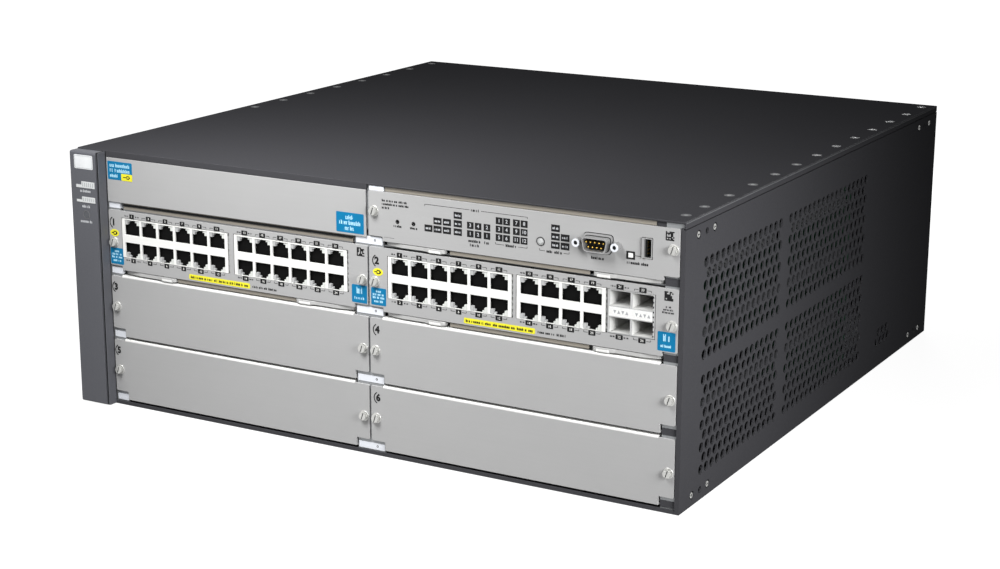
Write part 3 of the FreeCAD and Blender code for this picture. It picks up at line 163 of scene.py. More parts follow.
def powder_group():
    """Textured powder coat: fine orange peel, darker pits and slow tone changes."""
    group, entry, leave, place = new_group(
        "powder_texture", {"Colour": (0.1, 0.1, 0.1, 1.0), "Grain Scale": 900.0,
                           "Roughness": 0.5, "Roughness Spread": 0.03})
    nodes, links = group.nodes, group.links
    grain = noise(nodes, links, place, entry["Grain Scale"], 3.0, 0.6)
    slow = noise(nodes, links, place, 9.0)
    speckle = tinted(nodes, links, entry["Colour"], 0.93, 1.07, grain)
    links.new(tinted(nodes, links, speckle, 0.985, 1.015, slow), leave["Colour"])
    links.new(varied_roughness(nodes, links, entry, slow), leave["Roughness"])
    links.new(grain, leave["Height"])
    return group


def rolled_group():
    """Rolled or brushed sheet: fine streaks along X and faint handling marks."""
    group, entry, leave, place = new_group(
        "rolled_grain", {"Colour": (0.6, 0.6, 0.6, 1.0), "Streak": 0.05,
                         "Roughness": 0.35, "Roughness Spread": 0.03})
    nodes, links = group.nodes, group.links
    lengthen = nodes.new("ShaderNodeMapping")
    lengthen.inputs["Scale"].default_value = (14.0, 700.0, 700.0)
    links.new(place, lengthen.inputs["Vector"])
    streak = noise(nodes, links, lengthen.outputs["Vector"], 1.0)
    marks = noise(nodes, links, place, 26.0, 4.0, 0.6)
    grained = tinted_by(nodes, links, entry["Colour"], entry["Streak"], streak)
    links.new(tinted(nodes, links, grained, 0.985, 1.015, marks), leave["Colour"])
    links.new(varied_roughness(nodes, links, entry, marks), leave["Roughness"])
    links.new(streak, leave["Height"])
    return group


def printed_group():
    """Screen print and label film: slight unevenness of ink and a fine paper tooth."""
    group, entry, leave, place = new_group(
        "printed_film", {"Colour": (0.5, 0.5, 0.5, 1.0), "Unevenness": 0.06})
    nodes, links = group.nodes, group.links
    cloud = noise(nodes, links, place, 180.0, 3.0)
    links.new(tinted_by(nodes, links, entry["Colour"], entry["Unevenness"], cloud),
              leave["Colour"])
    links.new(noise(nodes, links, place, 2200.0, 1.0), leave["Height"])
    return group


POWDER = powder_group()
ROLLED = rolled_group()
PRINTED = printed_group()


# ------------------------------------------------------------------ materials
def linear(hex_colour):
    """A colour written as on a colour chart, as the shader wants it."""
    parts = [int(hex_colour[i:i + 2], 16) / 255 for i in (0, 2, 4)]
    return tuple(c / 12.92 if c <= 0.04045 else ((c + 0.055) / 1.055) ** 2.4
                 for c in parts) + (1.0,)


def shaded(name, group, settings, sockets, bump, bump_distance=0.0001):
    """A Principled material fed by one of the node groups."""
    material = bpy.data.materials.new(name)
    material.use_nodes = True
    nodes, links = material.node_tree.nodes, material.node_tree.links
    shader = nodes["Principled BSDF"]
    effect = nodes.new("ShaderNodeGroup")
    effect.node_tree = group
    for label, value in settings.items():
        effect.inputs[label].default_value = value
    links.new(effect.outputs["Colour"], shader.inputs["Base Color"])
    if "Roughness" in effect.outputs:
        links.new(effect.outputs["Roughness"], shader.inputs["Roughness"])
    relief = nodes.new("ShaderNodeBump")
    relief.inputs["Strength"].default_value = bump
    relief.inputs["Distance"].default_value = bump_distance
    links.new(effect.outputs["Height"], relief.inputs["Height"])
    links.new(relief.outputs["Normal"], shader.inputs["Normal"])
    for label, value in sockets.items():
        shader.inputs[label].default_value = value
    return material


def powder_coat(name, colour, roughness=0.5, grain=1500.0, bump=0.2, shine=0.5):
    """Painted sheet or a moulding, with a soft grain."""
    return shaded(name, POWDER, {"Colour": linear(colour), "Roughness": roughness,
                                 "Grain Scale": grain}, {"Specular IOR Level": shine}, bump)


def metal_sheet(name, colour, roughness, streak=0.05, metallic=1.0, shine=0.5):
    """Bare, plated or thinly painted sheet, with streaks."""
    return shaded(name, ROLLED, {"Colour": linear(colour), "Roughness": roughness,
                                 "Streak": streak},
                  {"Metallic": metallic, "Specular IOR Level": shine}, 0.12, 0.00003)


def ink(name, colour, roughness=0.5):
    """Screen print or label film."""
    return shaded(name, PRINTED, {"Colour": linear(colour), "Unevenness": 0.05},
                  {"Roughness": roughness, "Specular IOR Level": 0.2}, 0.05, 0.00002)


DARK_COAT = powder_coat("dark_powder_coat", "434346", 0.5, 1100.0, 0.22, shine=0.0)
# painted highlight: a paler copy of the dark coat for the cover's bent edges
EDGE_HIGHLIGHT_COAT = powder_coat("bent_edge_painted_highlight", "68696b", 0.5, 1100.0, 0.15, shine=0.0)
RIVET = powder_coat("rivet_coat", "7e7f80", 0.45, 1100.0, 0.15, shine=0.1)
RIVET_RIM = powder_coat("rivet_rim_coat", "565759", 0.5, 1100.0, 0.15, shine=0.05)
BEZEL_COAT = powder_coat("bezel_grey", "5d5e63", 0.5, 1400.0, 0.2, shine=0.15)
SILVER = metal_sheet("silver_face_paint", "a8a8a8", 0.46, 0.008, 0.1, shine=0.2)
BLOCK_WHITE = metal_sheet("bright_zinc_end", "dfe2e8", 0.45, 0.01, 0.1)
# painted highlight: the slot covers' folded top edge is the same silver sheet, coloured near
# white
FOLD_HIGHLIGHT = metal_sheet("fold_painted_highlight", "e2e2e0", 0.35, 0.01, 0.1)
LEVER = metal_sheet("lever_sheet", "b4b4b3", 0.4, 0.02, 0.15, shine=0.3)
NICKEL = metal_sheet("nickel_plate", "bdbdba", 0.3, 0.03, 0.5)
SHIELD = metal_sheet("socket_shield", "e9e9e6", 0.42, 0.01, 0.0)
SHELL = metal_sheet("connector_shell", "a4a4a4", 0.32, 0.03, 0.6)
CAGE = metal_sheet("cage_steel", "b6b7b7", 0.4, 0.03, 0.3)
# painted light: a paler, non-metallic copy of the cage steel for the cages' inner walls
CAGE_INSIDE_LIT = metal_sheet("cage_inner_painted_light", "cfcfcd", 0.5, 0.04, 0.0)
STEEL_STRIP = metal_sheet("dull_steel_strip", "8f897f", 0.5, 0.04, 0.2)
GOLD = metal_sheet("gold_contact", "c9a24a", 0.28, 0.03, 1.0)
# painted shade: the socket contacts' gold darkened to olive, as it looks deep in the sockets
GOLD_IN_PAINTED_SHADE = metal_sheet("contact_painted_shade", "4a4628", 0.5, 0.03, 0.2)
# black socket moulding; also painted shade in the gap under the cover and in the slit round the
# socket banks
CAVITY = powder_coat("socket_moulding_and_painted_shade", "0a0a0a", 0.6, 1600.0, 0.15, shine=0.06)
# black mouldings; also painted shade in screw holes, cross recesses, outlines and slots
BLACK = powder_coat("black_moulding_and_painted_shade", "131415", 0.5, 1500.0, 0.2, shine=0.15)
# black of the card guides; also painted shade under the panel edge on the left recessed strip
DARK_GUIDE_AND_SHADE = powder_coat("guide_moulding_and_painted_shade", "1c1d1e", 0.6, 1500.0, 0.12, shine=0.1)
SMOKED = powder_coat("led_window", "d4d6d2", 0.35, 1500.0, 0.05)
DIM_WINDOW = powder_coat("led_window_side", "b0b1b1", 0.45, 1500.0, 0.05)
BOARD = powder_coat("solder_mask", "0d2a1a", 0.5, 700.0, 0.2, shine=0.2)
FAN_BLACK = powder_coat("fan_moulding", "1d1e20", 0.48, 1300.0, 0.2)
INK = ink("black_print", "0e0e0f")
WHITE_INK = ink("white_print", "f2f2ef")
BLUE = ink("blue_label", "086f9c", 0.45)
LABEL_INK = ink("label_print", "a9d6e8")
YELLOW = ink("yellow_label", "e6df34", 0.45)
PALE_INK = ink("pale_print", "bcbec1")
MID_INK = ink("grey_print", "a2a4a6")
WHITE_PAINT = powder_coat("white_paint", "e4e4e2", 0.4, 1500.0, 0.1)
# grey moulding; also painted shade in the captive screws' slots and at the foot of the left
# recessed strip
MID_GREY = powder_coat("grey_moulding_and_painted_shade", "5e5f61", 0.45, 1500.0, 0.15)
BUTTON_GREY = powder_coat("button_moulding", "b9bbbb", 0.42, 1500.0, 0.12)
LENS = powder_coat("milky_lens", "d2d4d4", 0.3, 1800.0, 0.06)
LENS_RIB = powder_coat("lens_rib", "a9abad", 0.3, 1800.0, 0.06)
DARK_LENS = powder_coat("dark_lens", "4b4d52", 0.25, 1800.0, 0.06)
ZINC_DULL = metal_sheet("dull_zinc_sheet", "8e9092", 0.5, 0.04, 0.5)
WHITE_PLATE = ink("badge_film", "e6e8e9", 0.35)


# ------------------------------------------------------------------ mesh making
def on_axis(axis, depth, u, v):
    """A point at a depth along an axis; u and v are its other coordinates, in order."""
    return {"X": (depth, u, v), "Y": (u, depth, v), "Z": (u, v, depth)}[axis]


class Shape:
    """Faces collected in millimetres, each with the number of its material."""

    def __init__(self):
        self.points = []
        self.faces = []
        self.marks = []
        self.smooth = []

    def add(self, points, faces, mark=0, smooth=False):
        """Faces over their own points, all of one material."""
        base = len(self.points)
        self.points.extend(points)
        for face in faces:
            self.faces.append([base + i for i in face])
            self.marks.append(mark)
            self.smooth.append(smooth)

    def box(self, x0, x1, y0, y1, z0, z1, mark=0):
        """A block with square edges."""
        points = [(x, y, z) for z in (z0, z1) for y in (y0, y1) for x in (x0, x1)]
        faces = [(0, 2, 3, 1), (4, 5, 7, 6), (0, 1, 5, 4), (2, 6, 7, 3), (0, 4, 6, 2),
                 (1, 3, 7, 5)]
        self.add(points, faces, mark)

    def prism(self, outline, low, high, axis="Y", mark=0, holes=()):
        """An outline with holes, extruded along an axis; X outlines are (y, z), Y ones
        (x, z) and Z ones (x, y)."""
        loops = [list(outline)] + [list(hole) for hole in holes]
        flat = [p for loop in loops for p in loop]
        if len(loops) == 1 and len(outline) <= 4:
            caps = [tuple(range(len(outline)))]
        else:
            caps = tessellate_polygon([[Vector((u, v, 0)) for u, v in loop]
                                       for loop in loops])
        count = len(flat)
        points = [on_axis(axis, depth, u, v) for depth in (low, high) for u, v in flat]
        self.add(points, list(caps) + [tuple(count + i for i in reversed(c)) for c in caps],
                 mark)
        walls = []
        start = 0
        for loop in loops:
            n = len(loop)
            for i in range(n):
                a, b = start + i, start + (i + 1) % n
                walls.append((a, b, count + b, count + a))
            start += n
        self.add(points, walls, mark)

    def cylinder(self, centre, radius, low, high, axis="Y", sides=24, mark=0, cap=None):
        """A round bar along an axis; cap is a smaller radius for a rounded front edge."""
        u0, v0 = centre
        levels = [(low, radius), (high, radius)]
        if cap:
            levels = [(low, radius - cap), (low + cap * 0.35, radius - cap * 0.3),
                      (low + cap, radius), (high, radius)]
        points = []
        for depth, r in levels:
            for k in range(sides):
                a = 2 * math.pi * k / sides
                points.append(on_axis(axis, depth, u0 + r * math.cos(a),
                                      v0 + r * math.sin(a)))
        rows = len(levels)
        self.add(points, [tuple(range(sides)),
                          tuple(reversed(range((rows - 1) * sides, rows * sides)))], mark)
        walls = []
        for row in range(rows - 1):
            for k in range(sides):
                a, b = row * sides + k, row * sides + (k + 1) % sides
                walls.append((a, b, b + sides, a + sides))
        self.add(points, walls, mark, smooth=True)

    def tube(self, centre, outer, inner, low, high, sides=24, mark=0):
        """A round ring along Y."""
        self.prism(circle(centre, outer, sides), low, high, "Y", mark,
                   [circle(centre, inner, sides)])

    def moved(self, other, matrix, mark):
        """Adds another shape's faces through a matrix, in one material."""
        self.add([tuple(matrix @ Vector(p)) for p in other.points], other.faces, mark)


def rect(x0, z0, x1, z1):
    """A rectangle's outline."""
    return [(x0, z0), (x1, z0), (x1, z1), (x0, z1)]


def circle(centre, radius, sides=24, turn=0.0):
    """A circle's outline."""
    return [(centre[0] + radius * math.cos(2 * math.pi * k / sides + turn),
             centre[1] + radius * math.sin(2 * math.pi * k / sides + turn))
            for k in range(sides)]


def rounded(x0, z0, x1, z1, radius, steps=4):
    """A rectangle with round corners."""
    outline = []
    for cx, cz, start in ((x1 - radius, z0 + radius, -90), (x1 - radius, z1 - radius, 0),
                          (x0 + radius, z1 - radius, 90), (x0 + radius, z0 + radius, 180)):
        for k in range(steps + 1):
            a = math.radians(start + 90 * k / steps)
            outline.append((cx + radius * math.cos(a), cz + radius * math.sin(a)))
    return outline


def build(name, shape, materials, body, bevel=0.0, stands_for=(), segments=2,
          weld=True):
    """Turns a shape into a Blender object that rides on a CAD body."""
    mesh = bpy.data.meshes.new(name)
    mesh.from_pydata([tuple(c * MM for c in p) for p in shape.points], [], shape.faces)
    for material in materials:
        mesh.materials.append(material)
    mesh.polygons.foreach_set("material_index", shape.marks)
    mesh.polygons.foreach_set("use_smooth", shape.smooth)
    if weld:
        work = bmesh.new()
        work.from_mesh(mesh)
        bmesh.ops.remove_doubles(work, verts=work.verts, dist=0.000002)
        bmesh.ops.recalc_face_normals(work, faces=work.faces)
        work.to_mesh(mesh)
        work.free()
    mesh.update()
    piece = bpy.data.objects.new(name, mesh)
    bpy.context.scene.collection.objects.link(piece)
    if bevel:
        edge = piece.modifiers.new("edge", "BEVEL")
        edge.width = bevel * MM
        edge.segments = segments
        edge.limit_method = "ANGLE"
        edge.angle_limit = math.radians(40)
        edge.use_clamp_overlap = True
    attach(piece, body)
    if stands_for:
        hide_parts(*stands_for)
    return piece


def build_print(name, shape, inks, body, stands_for=()):
    """Printed marks: thin flat ink, left unwelded and unrounded."""
    build(name, shape, inks, body, 0.0, stands_for, weld=False)


# ------------------------------------------------------------------ numbers and captions
GLYPHS = {}


def glyph(text, weight):
    """A number's flat outline as a shape, one unit high, centred."""
    if (text, weight) not in GLYPHS:
        curve = bpy.data.curves.new("number", "FONT")
        curve.body = text
        curve.align_x = "CENTER"
        curve.align_y = "CENTER"
        curve.extrude = 0.02
        curve.offset = weight
        curve.resolution_u = 3
        holder = bpy.data.objects.new("number", curve)
        bpy.context.scene.collection.objects.link(holder)
        bpy.context.view_layer.update()
        mesh = bpy.data.meshes.new_from_object(holder)
        shape = Shape()
        shape.add([tuple(v.co) for v in mesh.vertices],
                  [tuple(p.vertices) for p in mesh.polygons])
        bpy.data.objects.remove(holder)
        bpy.data.curves.remove(curve)
        bpy.data.meshes.remove(mesh)
        GLYPHS[text, weight] = shape
    return GLYPHS[text, weight]


def number(shape, text, x, z, size, face_y, mark=0, weight=0.0):
    """Writes a plain number on a face that looks towards -Y."""
    place = (Matrix.Translation((x, face_y - PRINT * 1.5, z))
             @ Matrix.Rotation(math.radians(90), 4, "X")
             @ Matrix.Diagonal((size, size, 1.0, 1.0)))
    shape.moved(glyph(str(text), weight), place, mark)


def patch(shape, x0, x1, z0, z1, mark=0, face_y=FRONT, lift=PRINT):
    """A thin printed field or rule on a face that looks towards -Y."""
    shape.box(x0, x1, face_y - lift, face_y + 0.01, z0, z1, mark)


def stroke_letter(shape, x, z, wide, high, face_y, mark, lift):
    """A letter-like mark that spells nothing: one or two stems and a bar."""
    pen = min(0.58, wide * 0.5)
    tall = high if random.random() < 0.35 else high * 0.76
    low = z - high / 2
    patch(shape, x, x + pen, low, low + tall, mark, face_y, lift)
    if random.random() < 0.7:
        patch(shape, x + wide - pen, x + wide, low, low + high * 0.76, mark, face_y, lift)
    bar = low + random.choice((0.0, 0.3, 0.56)) * high
    patch(shape, x + pen, x + wide - pen, bar, bar + pen * 0.9, mark, face_y, lift)


def text_bars(shape, x0, x1, z, height, words, mark=0, gap=0.9, face_y=FRONT, lift=PRINT):
    """A line of letter-like strokes in the place of a caption; words are relative lengths."""
    total = sum(words)
    height *= 1.4
    room = x1 - x0 - gap * (len(words) - 1)
    x = x0
    for word in words:
        length = room * word / total
        letters = max(2, round(length / (height * 0.72)))
        step = length / letters
        for k in range(letters):
            stroke_letter(shape, x + k * step, z, step * 0.8, height, face_y, mark, lift)
        x += length + gap


# ------------------------------------------------------------------ chassis sheets
VENT_PITCH = 8.15
VENT_ROW = 7.0                 # from one row of vents to the next
VENT_RADIUS = 3.2
VENT_SIDES = 12
FIELD_FLOORS = (19.0, 90.3)    # lowest rows of the lower and the upper fields
FIELD_ROWS = 9
FRONT_FIELD = (-195.8, 15)     # first vent and number of vents, along Y
MIDDLE_FIELD = (-64.6, 18)
SMALL_FIELD = (113.5, 4)
SMALL_ROWS = 2
FIELD_SPLITS = (-76.0, 95.0)   # plain sheet between the fields is divided here
SIDE_LOW = 1.2                 # side sheets, above the base pan
SIDE_HIGH = node_box("side_panel_right")[1][2]
SIDE_INNER = HALF_W - SHEET
COVER_GAP = 0.9                # dark gap between the side sheets and the cover's edge
HEM = 2.95                     # front hem of the side sheets
BRACKET_ROWS = (6.6, 164.8)
BRACKET_COLUMNS = (FRONT + 29.45, BACK - 27.95)
BRACKET_HOLE = 2.1
SCREW_STEP = 11.4              # bracket screws to either side of each bracket hole
SCREW_HOLE = 2.75


def cell_with_hole(sheet, y0, y1, z0, z1, hole, x_out, x_in):
    """One rectangular cell of a sheet, with a round hole through it."""
    sides = len(hole)
    count = sides + 4
    quarter = sides // 4
    corners = [(y1, z1), (y0, z1), (y0, z0), (y1, z0)]
    points = [(x, y, z) for x in (x_out, x_in) for y, z in hole + corners]
    faces = []
    for base in (0, count):
        for k in range(4):
            start = sides // 8 + k * quarter
            arc = [base + (start + i) % sides for i in range(quarter, -1, -1)]
            face = [base + sides + k, base + sides + (k + 1) % 4] + arc
            faces.append(face if base else face[::-1])
    walls = []
    for i in range(sides):
        j = (i + 1) % sides
        walls.append((i, j, count + j, count + i))
    sheet.add(points, faces)
    sheet.add(points, walls)


def vent_band(sheet, z, field, odd, y_start, y_end, x_out, x_in):
    """A strip of sheet at one height with a row of vents; odd rows stand half a pitch on."""
    first, count = field[0] + VENT_PITCH / 2 * odd, field[1] - odd
    z0, z1 = z - VENT_ROW / 2, z + VENT_ROW / 2
    half = VENT_PITCH / 2
    for i in range(count):
        y = first + i * VENT_PITCH
        hole = circle((y, (z0 + z1) / 2), VENT_RADIUS, VENT_SIDES, math.pi / VENT_SIDES)
        cell_with_hole(sheet, y - half, y + half, z0, z1, hole, x_out, x_in)
    last = first + (count - 1) * VENT_PITCH + half
    sheet.box(x_out, x_in, y_start, first - half, z0, z1)
    sheet.box(x_out, x_in, last, y_end, z0, z1)


def plain_bands(sheet, x_out, x_in):
    """The unvented bands of a side sheet, with the holes of its bracket screws."""
    field_tops = [floor + (FIELD_ROWS - 0.5) * VENT_ROW for floor in FIELD_FLOORS]
    for z0, z1 in ((SIDE_LOW, FIELD_FLOORS[0] - VENT_ROW / 2),
                   (field_tops[0], FIELD_FLOORS[1] - VENT_ROW / 2),
                   (field_tops[1], SIDE_HIGH - COVER_GAP)):
        holes = []
        for z in BRACKET_ROWS:
            if z0 < z < z1:
                holes += [circle((y, z), BRACKET_HOLE, 20) for y in BRACKET_COLUMNS]
                holes += [circle((y + offset, z), SCREW_HOLE, 20) for y in BRACKET_COLUMNS
                          for offset in (-SCREW_STEP, SCREW_STEP)]
        sheet.prism(rect(FRONT, z0, BACK, z1), x_in, x_out, "X", 0, holes)


def vented_bands(sheet, x_out, x_in):
    """The rows of vents of a side sheet, in fields with plain sheet between them."""
    first_split, last_split = FIELD_SPLITS
    for floor in FIELD_FLOORS:
        for row in range(FIELD_ROWS):
            z, odd = floor + row * VENT_ROW, row % 2
            vent_band(sheet, z, FRONT_FIELD, odd, FRONT, first_split, x_out, x_in)
            vent_band(sheet, z, MIDDLE_FIELD, odd, first_split, last_split, x_out, x_in)
            if floor == FIELD_FLOORS[0] and row < SMALL_ROWS:
                vent_band(sheet, z, SMALL_FIELD, odd, last_split, BACK, x_out, x_in)
            else:
                sheet.box(x_out, x_in, last_split, BACK, z - VENT_ROW / 2, z + VENT_ROW / 2)


def sunk_screw(shape, sign, y, z):
    """A bright cross-head screw, sunk in its hole in the side sheet; the hole's floor round it
    and the cross are black, painted shade.
    """
    def layer(outline, deep, shallow, mark):
        shape.prism(outline, *sorted((sign * (HALF_W - deep), sign * (HALF_W - shallow))), "X",
                    mark)

    layer(circle((y, z), SCREW_HOLE, 20), 1.3, 1.0, 0)
    layer(circle((y, z), 1.75, 20), 1.0, 0.25, 1)
    for a, b in ((1.2, 0.3), (0.3, 1.2)):
        layer(rect(y - a, z - b, y + a, z + b), 0.25, 0.18, 0)


def side_panel(hand):
    """Perforated side sheet with its front hem, the gap under the cover and its screws."""
    sign = 1 if hand == "right" else -1
    x_out, x_in = sign * HALF_W, sign * SIDE_INNER
    sheet = Shape()
    plain_bands(sheet, x_out, x_in)
    vented_bands(sheet, x_out, x_in)
    sheet.box(*sorted((sign * (HALF_W - HEM), x_in)), FRONT, FRONT + SHEET, SIDE_LOW, SIDE_HIGH)
    # the recessed band under the cover's edge is coloured near black, painted shade for the gap
    sheet.box(*sorted((sign * (HALF_W - 0.7), x_in)), FRONT, BACK, SIDE_HIGH - COVER_GAP,
              SIDE_HIGH, 1)
    build("side_sheet_" + hand, sheet, [DARK_COAT, CAVITY], "chassis", 0.0,
          ["side_panel_" + hand])

    fixings = Shape()
    for z in BRACKET_ROWS:
        for y in BRACKET_COLUMNS:
            for offset in (-SCREW_STEP, SCREW_STEP):
                sunk_screw(fixings, sign, y + offset, z)
    build("bracket_screws_" + hand, fixings, [BLACK, NICKEL], "chassis")


def cover_sheet():
    """Top cover: a folded sheet with soft edges and side flanges."""
    under = TOP - SHEET
    flange = node_box("top_cover")[0][2]
    cover = Shape()
    cover.prism([(-HALF_W, TOP), (-HALF_W, flange), (-SIDE_INNER, flange),
                 (-SIDE_INNER, under), (SIDE_INNER, under), (SIDE_INNER, flange),
                 (HALF_W, flange), (HALF_W, TOP)], FRONT + 0.02, BACK, "Y")
    build("top_cover_sheet", cover, [DARK_COAT], "chassis", 0.5, ["top_cover"],
          segments=3)


def cover_edges():
    """The cover's side bends, coloured paler than the coat: a painted highlight along them."""
    edge = Shape()
    out, wide = HALF_W + 0.03, 0.9
    for sign in (-1, 1):
        edge.prism([(sign * (out - wide), TOP + 0.03), (sign * (out - 0.2), TOP - 0.1),
                    (sign * out, TOP - 0.6), (sign * out, TOP - 1.0),
                    (sign * (out - wide), TOP - 1.0)], FRONT + 0.4, BACK - 0.3, "Y")
    build("cover_bent_edges", edge, [EDGE_HIGHLIGHT_COAT], "chassis", 0.0, ())


def cover_lip():
    """The cover's front lip, lower over the left column."""
    lip = Shape()
    lip.box(LEFT_COLUMN[0], LEFT_COLUMN[1] - 0.2, FRONT, FRONT + 1.0, TOP - 4.25, TOP - 0.25)
    lip.box(RIGHT_COLUMN[0], RIGHT_COLUMN[1] + 0.3, FRONT + 0.2, FRONT + 1.2, TOP - 1.3,
            TOP - 0.3)
    build("cover_front_lip", lip, [DARK_COAT], "chassis", 0.25, ())


def cover_rivets():
    """Rivets along the cover: two near the front, then a regular row to the back."""
    rivets = Shape()
    rivet_x, row_start, row_step, last = HALF_W - 8.2, -146.0, 36.0, 213.0
    places = [-208.0, -182.0] + [min(row_start + row_step * k, last) for k in range(11)]
    for k, y in enumerate(places):
        # the left edge has only the rear ones
        for x in (-rivet_x, rivet_x)[0 if k > 4 else 1:]:
            rivets.cylinder((x, y), 3.2, TOP - 0.6, TOP + 0.02, "Z", 24, 0)
            rivets.cylinder((x, y), 1.3, TOP - 0.6, TOP + 0.05, "Z", 18, 1)
    build("cover_rivets", rivets, [RIVET_RIM, RIVET], "chassis", 0, ())


def top_cover():
    """The top cover with its bends, lip and rivets."""
    cover_sheet()
    cover_edges()
    cover_lip()
    cover_rivets()


def front_strips():
    """Recessed strips seen above the management face and over the left port module, with painted
    shadow lines on the left one.
    """
    strip = Shape()
    module_top = slot_floor(2) + FRONT_SPAN
    x0, x1 = LEFT_COLUMN[0] + 11.5, LEFT_COLUMN[1] - 12.0
    # over the left module, the near-black line below the panel's edge and the grey line at the
    # strip's foot are painted shade
    for near, far, low, high, mark in ((2.2, 3.0, -0.2, 6.0, 0), (1.5, 2.3, 2.9, 4.2, 3),
                                       (1.5, 1.8, 0.1, 0.8, 4)):
        strip.box(x0, x1, FRONT + near, FRONT + far, module_top + low, module_top + high, mark)
    left, right = RIGHT_COLUMN
    for x0, x1, near, far, mark in ((left + 11.3, right - 16.0, 1.6, 2.6, 0),
                                    (right - 15.6, right - 0.3, 1.8, 2.6, 1),
                                    (left + 0.4, left + 11.0, 0.6, 1.6, 2)):
        strip.box(x0, x1, FRONT + near, FRONT + far, TOP - 4.2, TOP - 1.4, mark)
    build("recessed_strips", strip, [STEEL_STRIP, DARK_COAT, BLOCK_WHITE, DARK_GUIDE_AND_SHADE, MID_GREY],
          "chassis", 0.2, ())


def corner_blocks():
    """Bright post ends and guide blocks that show in the notches of the fronts."""
    blocks = Shape()
    (left, middle_l), (middle_r, right) = LEFT_COLUMN, RIGHT_COLUMN
    near, far = FRONT + FACE - 0.35, FRONT + 3.4
    for row in range(4):
        low, high = (slot_floor(row) + rise for rise in ((0.4, 4.6) if row < 3 else (0.9, 5.6)))
        for x0, x1, mark in ((left + 0.3, left + 9.3, 0), (middle_l - 9.0, middle_r + 9.3, 0),
                             (right - 9.3, right - 0.2, 1)):
            blocks.box(x0, x1, near, far, low, high, mark)
        blocks.tube(((middle_l + middle_r) / 2 + 4.4, (low + high) / 2 + 0.3), 0.75, 0.4,
                    near - 0.06, near + 0.1, 14, 2)
    build("post_ends", blocks, [BLOCK_WHITE, DARK_COAT, INK], "chassis", 0.0, ())


# ------------------------------------------------------------------ folded fronts
NOTCH = 10.0                   # width of the notches in the fronts' lower corners
MODULE_RISE = 3.5              # a module's faceplate stands above its ejector levers
MODULE_NOTCH = 2.8
COVER_RISE = 1.4
COVER_NOTCH = 5.6
FRONT_SPAN = 44.15             # slot floor to the top edge of a front
SCREW_IN = 4.2                 # captive screws, from a front's ends
SCREW_RISE = 22.2              # and above its slot's floor


def notched(left, right, low, high, rise):
    """The outline of a front with both lower corners cut away."""
    soft = 0.9                 # radius of the outer corners

    def corner(x, z, start):
        steps = [math.radians(start + 30 * k) for k in range(4)]
        return [(x + soft * math.cos(a), z + soft * math.sin(a)) for a in steps]

    return ([(left + NOTCH, low), (right - NOTCH, low), (right - NOTCH, low + rise)]
            + corner(right - soft, low + rise + soft, -90) + corner(right - soft, high - soft, 0)
            + corner(left + soft, high - soft, 90) + corner(left + soft, low + rise + soft, 180)
            + [(left + NOTCH, low + rise)])


def slot_cover(slot, column, row):
    """Blank slot cover: a plain front with its top edge folded back, and hems."""
    left, right = column
    low, high = slot_floor(row) + COVER_RISE, slot_floor(row) + FRONT_SPAN - 1.0
    cover = Shape()
    cover.prism(notched(left + 0.25, right - 0.25, low, high, COVER_NOTCH), FRONT, FRONT + FACE)
    cover.box(left + NOTCH, right - NOTCH, FRONT + 0.9, FRONT + 12.0, low, low + SHEET)
    build("slot_cover_front_%d" % slot, cover, [SILVER], "chassis", 0.35,
          ["slot_cover_%d" % slot], segments=3)
    # the fold is coloured near white as a painted highlight along the cover's top edge
    fold = Shape()
    bend, crest, foot, face = 0.95, high + 0.9, high - 0.55, FRONT - 0.04
    roll = [(face + bend - bend * math.cos(a), crest - bend + bend * math.sin(a))
            for a in (math.radians(15 * k) for k in range(7))]
    fold.prism([(face, foot)] + roll
               + [(FRONT + 11.6, crest), (FRONT + 11.6, crest - 0.8), (FRONT + 1.3, crest - 0.8),
                  (FRONT + 1.3, foot)], left + 9.4, right - 11.2, "X")
    build("slot_cover_fold_%d" % slot, fold, [FOLD_HIGHLIGHT], "chassis", 0.25, ())


def module_plate(module, column, low, high, windows, node):
    """A module's faceplate with its window openings, bottom flange and lever strip."""
    left, right = column
    plate = Shape()
    plate.prism(notched(left + 0.2, right - 0.2, low, high, MODULE_NOTCH), FRONT, FRONT + FACE,
                "Y", 0, windows)
    plate.box(left + NOTCH, right - NOTCH, FRONT + 0.8, FRONT + 12.0, low, low + SHEET)
    build(module + "_front", plate, [SILVER], module, 0.25, [node])
    strip = Shape()
    middle = (left + right) / 2
    strip.box(middle - 47.5, middle + 47.5, FRONT + 1.2, FRONT + 2.2, low - 3.0, low - 0.5)
    build(module + "_lever_strip", strip, [STEEL_STRIP], module, 0.3, ())


